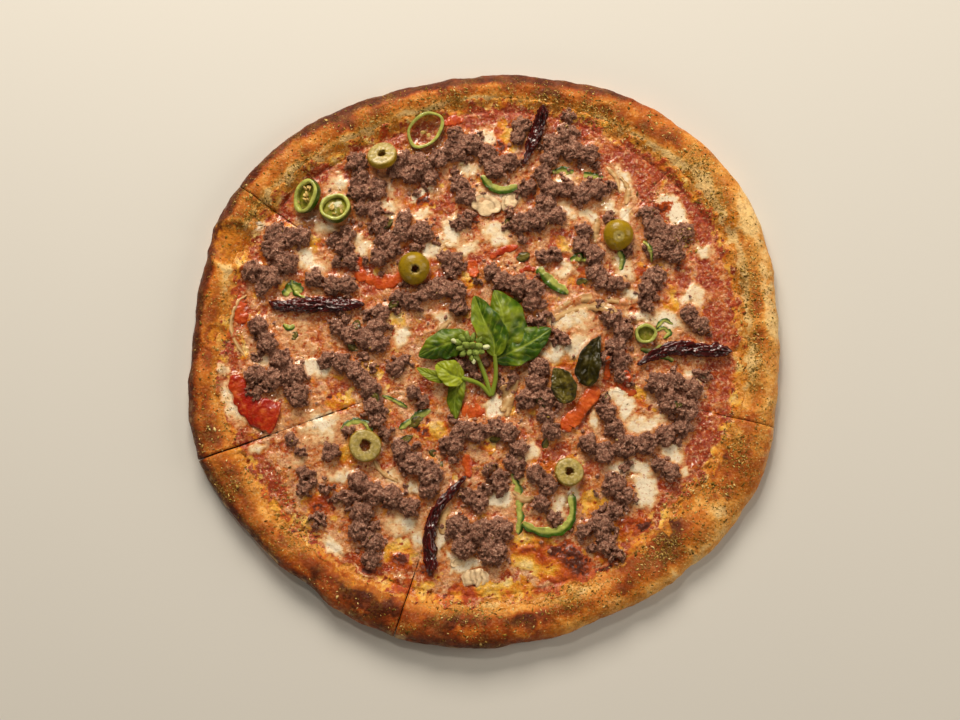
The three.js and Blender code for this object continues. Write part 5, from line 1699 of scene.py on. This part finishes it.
def basil_leaf(rib, width, lean, rise, left, right, foot, seed, shrivel=0.0, along=60, across=25, belly=0.8):
    """A leaf as a thin closed shell, puffed up between its veins.

    A wilted one is shrivelled and dark at its edges. belly over 1 moves its widest part towards the tip."""
    rows = curve([from_middle(*place) + (0, 0, foot) for place in rib], along)
    t = np.linspace(0, 1, along)[:, None]
    s = np.linspace(-1, 1, across)[None]
    half = width / 2 * MM * np.clip(np.sin(np.pi * t**belly), 0, 1) ** 0.7 * (1 + lean * np.sign(s))
    half = half * (1 + 0.05 * np.sin(23 * t + seed + s)) + 0.15 * MM
    way = np.gradient(rows, axis=0)
    side = np.cross(way, (0, 0, 1))
    side /= np.linalg.norm(side, axis=1, keepdims=True)
    up = np.cross(side, way)
    up /= np.linalg.norm(up, axis=1, keepdims=True)
    base = rows[:, None] + (s * half)[..., None] * side[:, None]
    flat = base.reshape(-1, 3)
    wave, ripple = (rough(flat, grain * MM, 2, seed).reshape(along, across) for grain in (9, 3.5))
    vein = (t * 6.5 - 1.9 * np.abs(s) ** 0.85 + 0.18 * ripple + 0.2 * np.sign(s)) % 1
    ribbed = np.exp(-((np.minimum(vein, 1 - vein) / 0.07) ** 2))
    ribbed = ribbed * ramp(np.abs(s), 0.0, 0.1) * ramp(-np.abs(s), -0.97, -0.75)
    middle = np.exp(-((s / 0.06) ** 2))
    small = min(1.0, width / 12)
    puff = 0.6 * np.sin(np.pi * vein) ** 0.7 * np.sin(np.pi * np.abs(s) ** 0.8)
    puff = (puff - 0.5 * middle + 0.32 * ripple) * MM * small
    height = rise * half * np.abs(s) ** 1.4 + puff * np.sin(np.pi * t) ** 0.5
    height = height + MM * wave * (0.6 + 1.1 * np.abs(s) ** 2) * np.sin(np.pi * t) ** 0.4 * small
    if shrivel:
        creased = 1 - 2 * np.abs(rough(flat, 4.5 * MM, 3, seed + 5).reshape(along, across))
        height = height + shrivel * MM * creased
    top = base + height[..., None] * up[:, None]
    thin = np.minimum(1, 8 * (1 - np.abs(s))) * np.ones_like(t)
    bottom = top - (LEAF_SHELL * np.maximum(thin, 0.15))[..., None] * up[:, None]
    points = np.concatenate([top.reshape(-1, 3), bottom.reshape(-1, 3)])
    veins = np.clip(np.maximum(ribbed * 0.6, middle), 0, 1)
    shade = left + (right - left) * ramp(s, -0.15, 0.15) + 0.3 * wave + 0.15 * ripple
    if shrivel:
        shade = shade - 0.7 * ramp(np.abs(s) + 0.2 * wave, 0.5, 0.85)
    masks = {"vein": np.tile(veins.ravel(), 2), "pale": np.clip(np.tile(shade.ravel(), 2), 0, 1)}
    return points, shell(along, across), masks


def paint_leaf(p):
    """A fresh leaf: deep to yellow green, with paler veins."""
    colour = p.over(p.mask("pale"), p.mottled("365604", 0.004, 0.8), p.mottled("929c1e", 0.004, 0.5))
    return p.grained(p.stained(colour, "9cac3c", "vein", 0.75), 0.001, 0.4, 0.00012)


def paint_wilted(p):
    """A leaf darkened by the oven, nearly black in its folds."""
    colour = p.over(p.mask("pale"), p.mottled("2e2806", 0.005, 0.7), p.mottled("786a28", 0.004, 0.6))
    return p.grained(p.stained(colour, "807838", "vein", 0.25), 0.001, 0.4, 0.0003)


def paint_bud(p):
    """A closed green bud with darker spots."""
    colour = p.over(p.specks(0.0015, 0.5, 0.2), p.mottled("8fa04a", 0.002, 0.5), "6f8434")
    return p.grained(colour, 0.0008, 0.4, 0.0003)


def paint_open_bud(p):
    """A whitish bud that begins to open."""
    return p.grained(p.mottled("d9dca8", 0.002, 0.3), 0.0008, 0.4, 0.0003)


def flat_turns(facing, rng, tilt):
    """Turns that lay things flat on a surface, each with a random heading and a little tilt."""
    up = facing + rng.normal(size=facing.shape) * tilt
    up /= np.linalg.norm(up, axis=1, keepdims=True)
    along = np.cross(up, rng.normal(size=facing.shape))
    along /= np.linalg.norm(along, axis=1, keepdims=True)
    return np.stack([along, np.cross(up, along), up], axis=2)


def bud_head(buds, foot, rng):
    """Buds that point away from the middle of their flower head."""
    at = np.array([from_middle(*place) for *place, _ in buds]) + (0, 0, foot)
    long = np.array([[size] for *_, size in buds]) * MM
    outward = at - at.mean(axis=0) * (1, 1, 0) - (0, 0, foot + 4 * MM)
    outward[:, 2] *= 0.4
    turns = flat_turns(outward, rng, 0.0)[:, :, [2, 0, 1]]
    sizes = long * rng.uniform(0.85, 1.1, (len(buds), 3)) * (1.15, 0.7, 0.7)
    points, faces = copies(ball(3), at, sizes, turns)
    return points + 0.18 * MM * rough(points, 1.1 * MM, 2, 1.0)[:, None], faces


def make_sprig():
    """The fresh sprig: its leaves, stems and flower head."""
    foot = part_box("basil_sprig")[0].z
    fresh = finish("fresh_basil_leaf", paint_leaf, 0.4, specular=0.3)
    leaves = [basil_leaf(*leaf, foot, 3.0 * i) for i, leaf in enumerate(SPRIG_LEAVES)]
    piece("basil_leaves", "basil", leaves, fresh, replaces=["basil_sprig"])
    stems = []
    for line in SPRIG_STEMS:
        rows = curve([from_middle(*place) + (0, 0, foot) for place in line], 40)
        points, faces = swept(rows, oval(16, 1.15 * MM * (1 + 0.08 * rough(rows, 4 * MM, 2)), 1.05 * MM))
        stems.append((points, faces, {"vein": np.full(len(points), 0.6), "pale": np.full(len(points), 0.35)}))
    piece("basil_stems", "basil", stems, fresh)
    rng = np.random.default_rng(31)
    for name, buds, paint in (
        ("basil_buds", GREEN_BUDS, paint_bud),
        ("basil_flower_buds", OPEN_BUDS, paint_open_bud),
    ):
        piece(name, "basil", [bud_head(buds, foot, rng)], finish(name, paint))


def make_wilted(ground):
    """Basil that wilted in the oven: whole leaves, and scraps of them."""
    wilted = finish("wilted_basil_leaf", paint_wilted, 0.35, coat=0.4, coat_roughness=0.1)
    for i, (name, (rise, inside, belly)) in enumerate(zip(named("wilted_basil"), WILTED)):
        rows = spine_of(name, 12)
        rib = (rows[:, :3] - (*MIDDLE, 0)) / MM
        width = 2 * rows[:, 3].max() / MM
        leaf = basil_leaf(rib, width, 0.1, rise, inside, inside, 0.0, 40.0 + i, 0.45, belly=belly)
        piece(f"oven_{name}", "wilted_basil", [leaf], wilted, replaces=[name])
    scraps = []
    for i, (x, y, long, wide, turn) in enumerate(LEAF_SCRAPS):
        way = heading(math.radians(turn)) * long / 2
        ends = np.array([(x, y)] * 3) + np.outer((-1, 0, 1), way)
        level = np.nan_to_num(heights(ground, MIDDLE + ends * MM), nan=CHEESE_LEVEL) / MM
        rib = np.column_stack([ends, level + (0.05, 0.35, 0.05)])
        scraps.append(basil_leaf(rib, wide, 0.0, -0.25, 0.5, 0.6, 0.0, 60.0 + i, 0.25, 22, 11))
    piece("wilted_basil_scraps", "wilted_basil", scraps, wilted)


# ---- Dried herbs and crumbs ----------------------------------------------------------------------

# How many lie on the rim, by direction.
HERBS_BY_DIRECTION = [
    (0, 1), (60, 1), (100, 0.7), (150, 0.9), (190, 0.7), (215, 0.35), (260, 0.4), (285, 0.8), (320, 1),
]
# Where they lie on the cheese.
CHEESE_HERBS = [
    (-105, -70, 7, 13, 15), (-97, -86, 10, 6, -40), (104, 62, 5, 9, 20), (96, -74, 8, 4, 35), (88, 84, 6, 5),
]
HERB_TRIES = 90000
# A flake of dried herb: a kinked leaf with one point above and one below.
FLAKE = np.array([[1, 0.1, 0], [0.1, 0.9, 0], [-1, 0.3, 0], [-0.2, -0.8, 0], [0.2, 0, 0.5], [-0.1, 0, -0.5]])
FLAKE_FACES = np.array([[i, (i + 1) % 4, 4] for i in range(4)] + [[(i + 1) % 4, i, 5] for i in range(4)])
CRUMB_TRIES = 6000


def strewn(rng, count, limit):
    """Random places on the pizza, with how far out they are and in which direction.

    limit gives the farthest place in each direction."""
    away, turn = np.sqrt(rng.random(count)), rng.random(count) * 360
    reach = away * limit(turn)
    return MIDDLE + reach[:, None] * heading(np.radians(turn)), reach, turn


def make_herbs(ground):
    """Dried herbs, thick on the rim and thin on the cheese."""
    rng = np.random.default_rng(47)
    flat, reach, turn = strewn(rng, HERB_TRIES, lambda turn: around(EDGE, turn))
    rim = ramp(reach - around(FOOT, turn), -3 * MM, 3 * MM)
    rim *= ramp(around(EDGE, turn) - reach, 0.8 * MM, 5 * MM) * turning(HERBS_BY_DIRECTION, turn)
    share = 0.008 + 0.2 * rim + 0.4 * rim * ramp(rough(lift(flat), 14 * MM, 3, 5.0), -0.2, 0.8)
    share += patches(flat, HERB_CLUSTERS, 0.6) * (0.12 + 0.88 * rim) + 0.75 * patches(flat, CHEESE_HERBS, 0.8)
    points, facing = laid(ground, flat[rng.random(HERB_TRIES) < 0.6 * share])
    count = len(points)
    long = np.exp(rng.normal(-0.5, 0.4, count)) * MM
    sizes = np.column_stack([long, long * rng.uniform(0.3, 0.75, count), 0.1 * MM + 0.08 * long])
    flakes = copies((FLAKE, FLAKE_FACES), points + facing * 0.1 * MM, sizes, flat_turns(facing, rng, 0.45))
    tone = np.repeat(rng.random(count), len(FLAKE))
    piece("dried_herb_flakes", "crust", [(*flakes, {"tone": tone})], finish("dried_herb", paint_herb, 0.7))


def paint_herb(p):
    """Dried herbs from straw to dark green-brown, each flake with its own tone."""
    tones = (0, "5c400e"), (0.25, "80621e"), (0.5, "a48232"), (0.75, "c6a052"), (1, "ecd08a")
    return p.grained(p.mottled(p.shades(p.mask("tone"), *tones), 0.001, 0.5), 0.0006, 0.4, 0.0001)


def make_crumbs(ground):
    """Loose crumbs of beef beside the heaps."""
    rng = np.random.default_rng(53)
    beef = cad_tree(named("beef"))
    flat, _, _ = strewn(rng, CRUMB_TRIES, lambda turn: around(FOOT, turn) - 6 * MM)
    near = [~np.isnan(heights(beef, flat + 4.5 * MM * way)) for way in heading(circle(8))]
    kept = np.isnan(heights(beef, flat)) & (np.any(near, axis=0) | (rng.random(CRUMB_TRIES) < 0.03))
    points, facing = laid(ground, flat[kept & (rng.random(CRUMB_TRIES) < 0.13)])
    count = len(points)
    size = np.exp(rng.normal(-0.15, 0.35, count)) * MM
    sizes = size[:, None] * rng.uniform(0.7, 1.2, (count, 3))
    made, faces = copies(ball(2), points + facing * 0.35 * size[:, None], sizes, turns_of(rng, count))
    made = made + 0.28 * MM * rough(made, 1.0 * MM, 2, 3.0)[:, None]
    # Random darker patches, through the beef's mask of painted gap shade.
    crevice = ramp(rough(made, 0.9 * MM, 2, 8.0), 0.0, 0.9) * 0.15
    piece("beef_crumbs", "beef", [(made, faces, {"crevice": crevice})], bpy.data.materials["minced_beef"])


CRUST = make_crust()
TOP = make_top(CRUST)
BEEF = make_beef()
GROUND = tree_of([*CRUST, *TOP, *BEEF])
make_vegetables(GROUND)
make_olives()
make_sprig()
make_wilted(GROUND)
make_crumbs(GROUND)
make_herbs(GROUND)

# ---- Table, light and camera ---------------------------------------------------------------------

VIEW_DISTANCE = 0.95
VIEW_ELEVATION = math.radians(86)
FIELD_WIDTH = 0.494  # what the camera sees across, at the pizza
SENSOR = 36
# Soft lights: place, size and power.
SOFTBOXES = {
    "window": ((-0.2, 1.15, 0.8), (0.8, 0.5), 22.3),
    "side_fill": ((1.1, 0.1, 0.6), (0.6, 0.8), 5),
    "front_fill": ((-0.5, -1.1, 0.6), (0.8, 0.5), 2.0),
    "sparkle": ((-0.25, 0.55, 1.1), (0.1, 0.1), 2.2),
}


def placed(name, data, at, looking):
    """An object at a place, turned to look some way."""
    made = bpy.data.objects.new(name, data)
    made.location = at
    made.rotation_euler = looking.to_track_quat("-Z", "Y").to_euler()
    bpy.context.scene.collection.objects.link(made)
    return made


def make_table():
    """A plain pale table top that reaches well out of view."""
    mesh = bpy.data.meshes.new("table")
    with editing(mesh) as bm:
        bmesh.ops.create_grid(bm, x_segments=1, y_segments=1, size=6)
    mesh.materials.append(finish("pale_table", lambda p: {"Base Color": "dcdad6"}, 0.6))
    table = bpy.data.objects.new("table", mesh)
    bpy.context.scene.collection.objects.link(table)


def make_light():
    """Warm daylight from a window behind the pizza, with soft fills and a pale room."""
    for name, (at, size, power) in SOFTBOXES.items():
        data = bpy.data.lights.new(name, "AREA")
        data.shape = "RECTANGLE"
        data.size, data.size_y = size
        data.energy = power
        data.color = rgb("fff4e2")[:3]
        placed(name, data, at, -Vector(at))
    world = bpy.data.worlds.new("studio")
    bpy.context.scene.world = world
    world.use_nodes = True
    background = world.node_tree.nodes["Background"].inputs
    background["Color"].default_value = rgb("f2e4cc")
    background["Strength"].default_value = 0.11
    bpy.context.scene.view_settings.view_transform = "Standard"


def make_camera():
    """The camera, nearly straight above."""
    data = bpy.data.cameras.new("camera")
    data.sensor_width = SENSOR
    data.lens = SENSOR * VIEW_DISTANCE / FIELD_WIDTH
    back = Vector((0, -math.cos(VIEW_ELEVATION), math.sin(VIEW_ELEVATION)))
    target = Vector(from_middle(-2.6, -0.5, 8))
    bpy.context.scene.camera = placed("camera", data, target + VIEW_DISTANCE * back, -back)


make_table()
make_light()
make_camera()
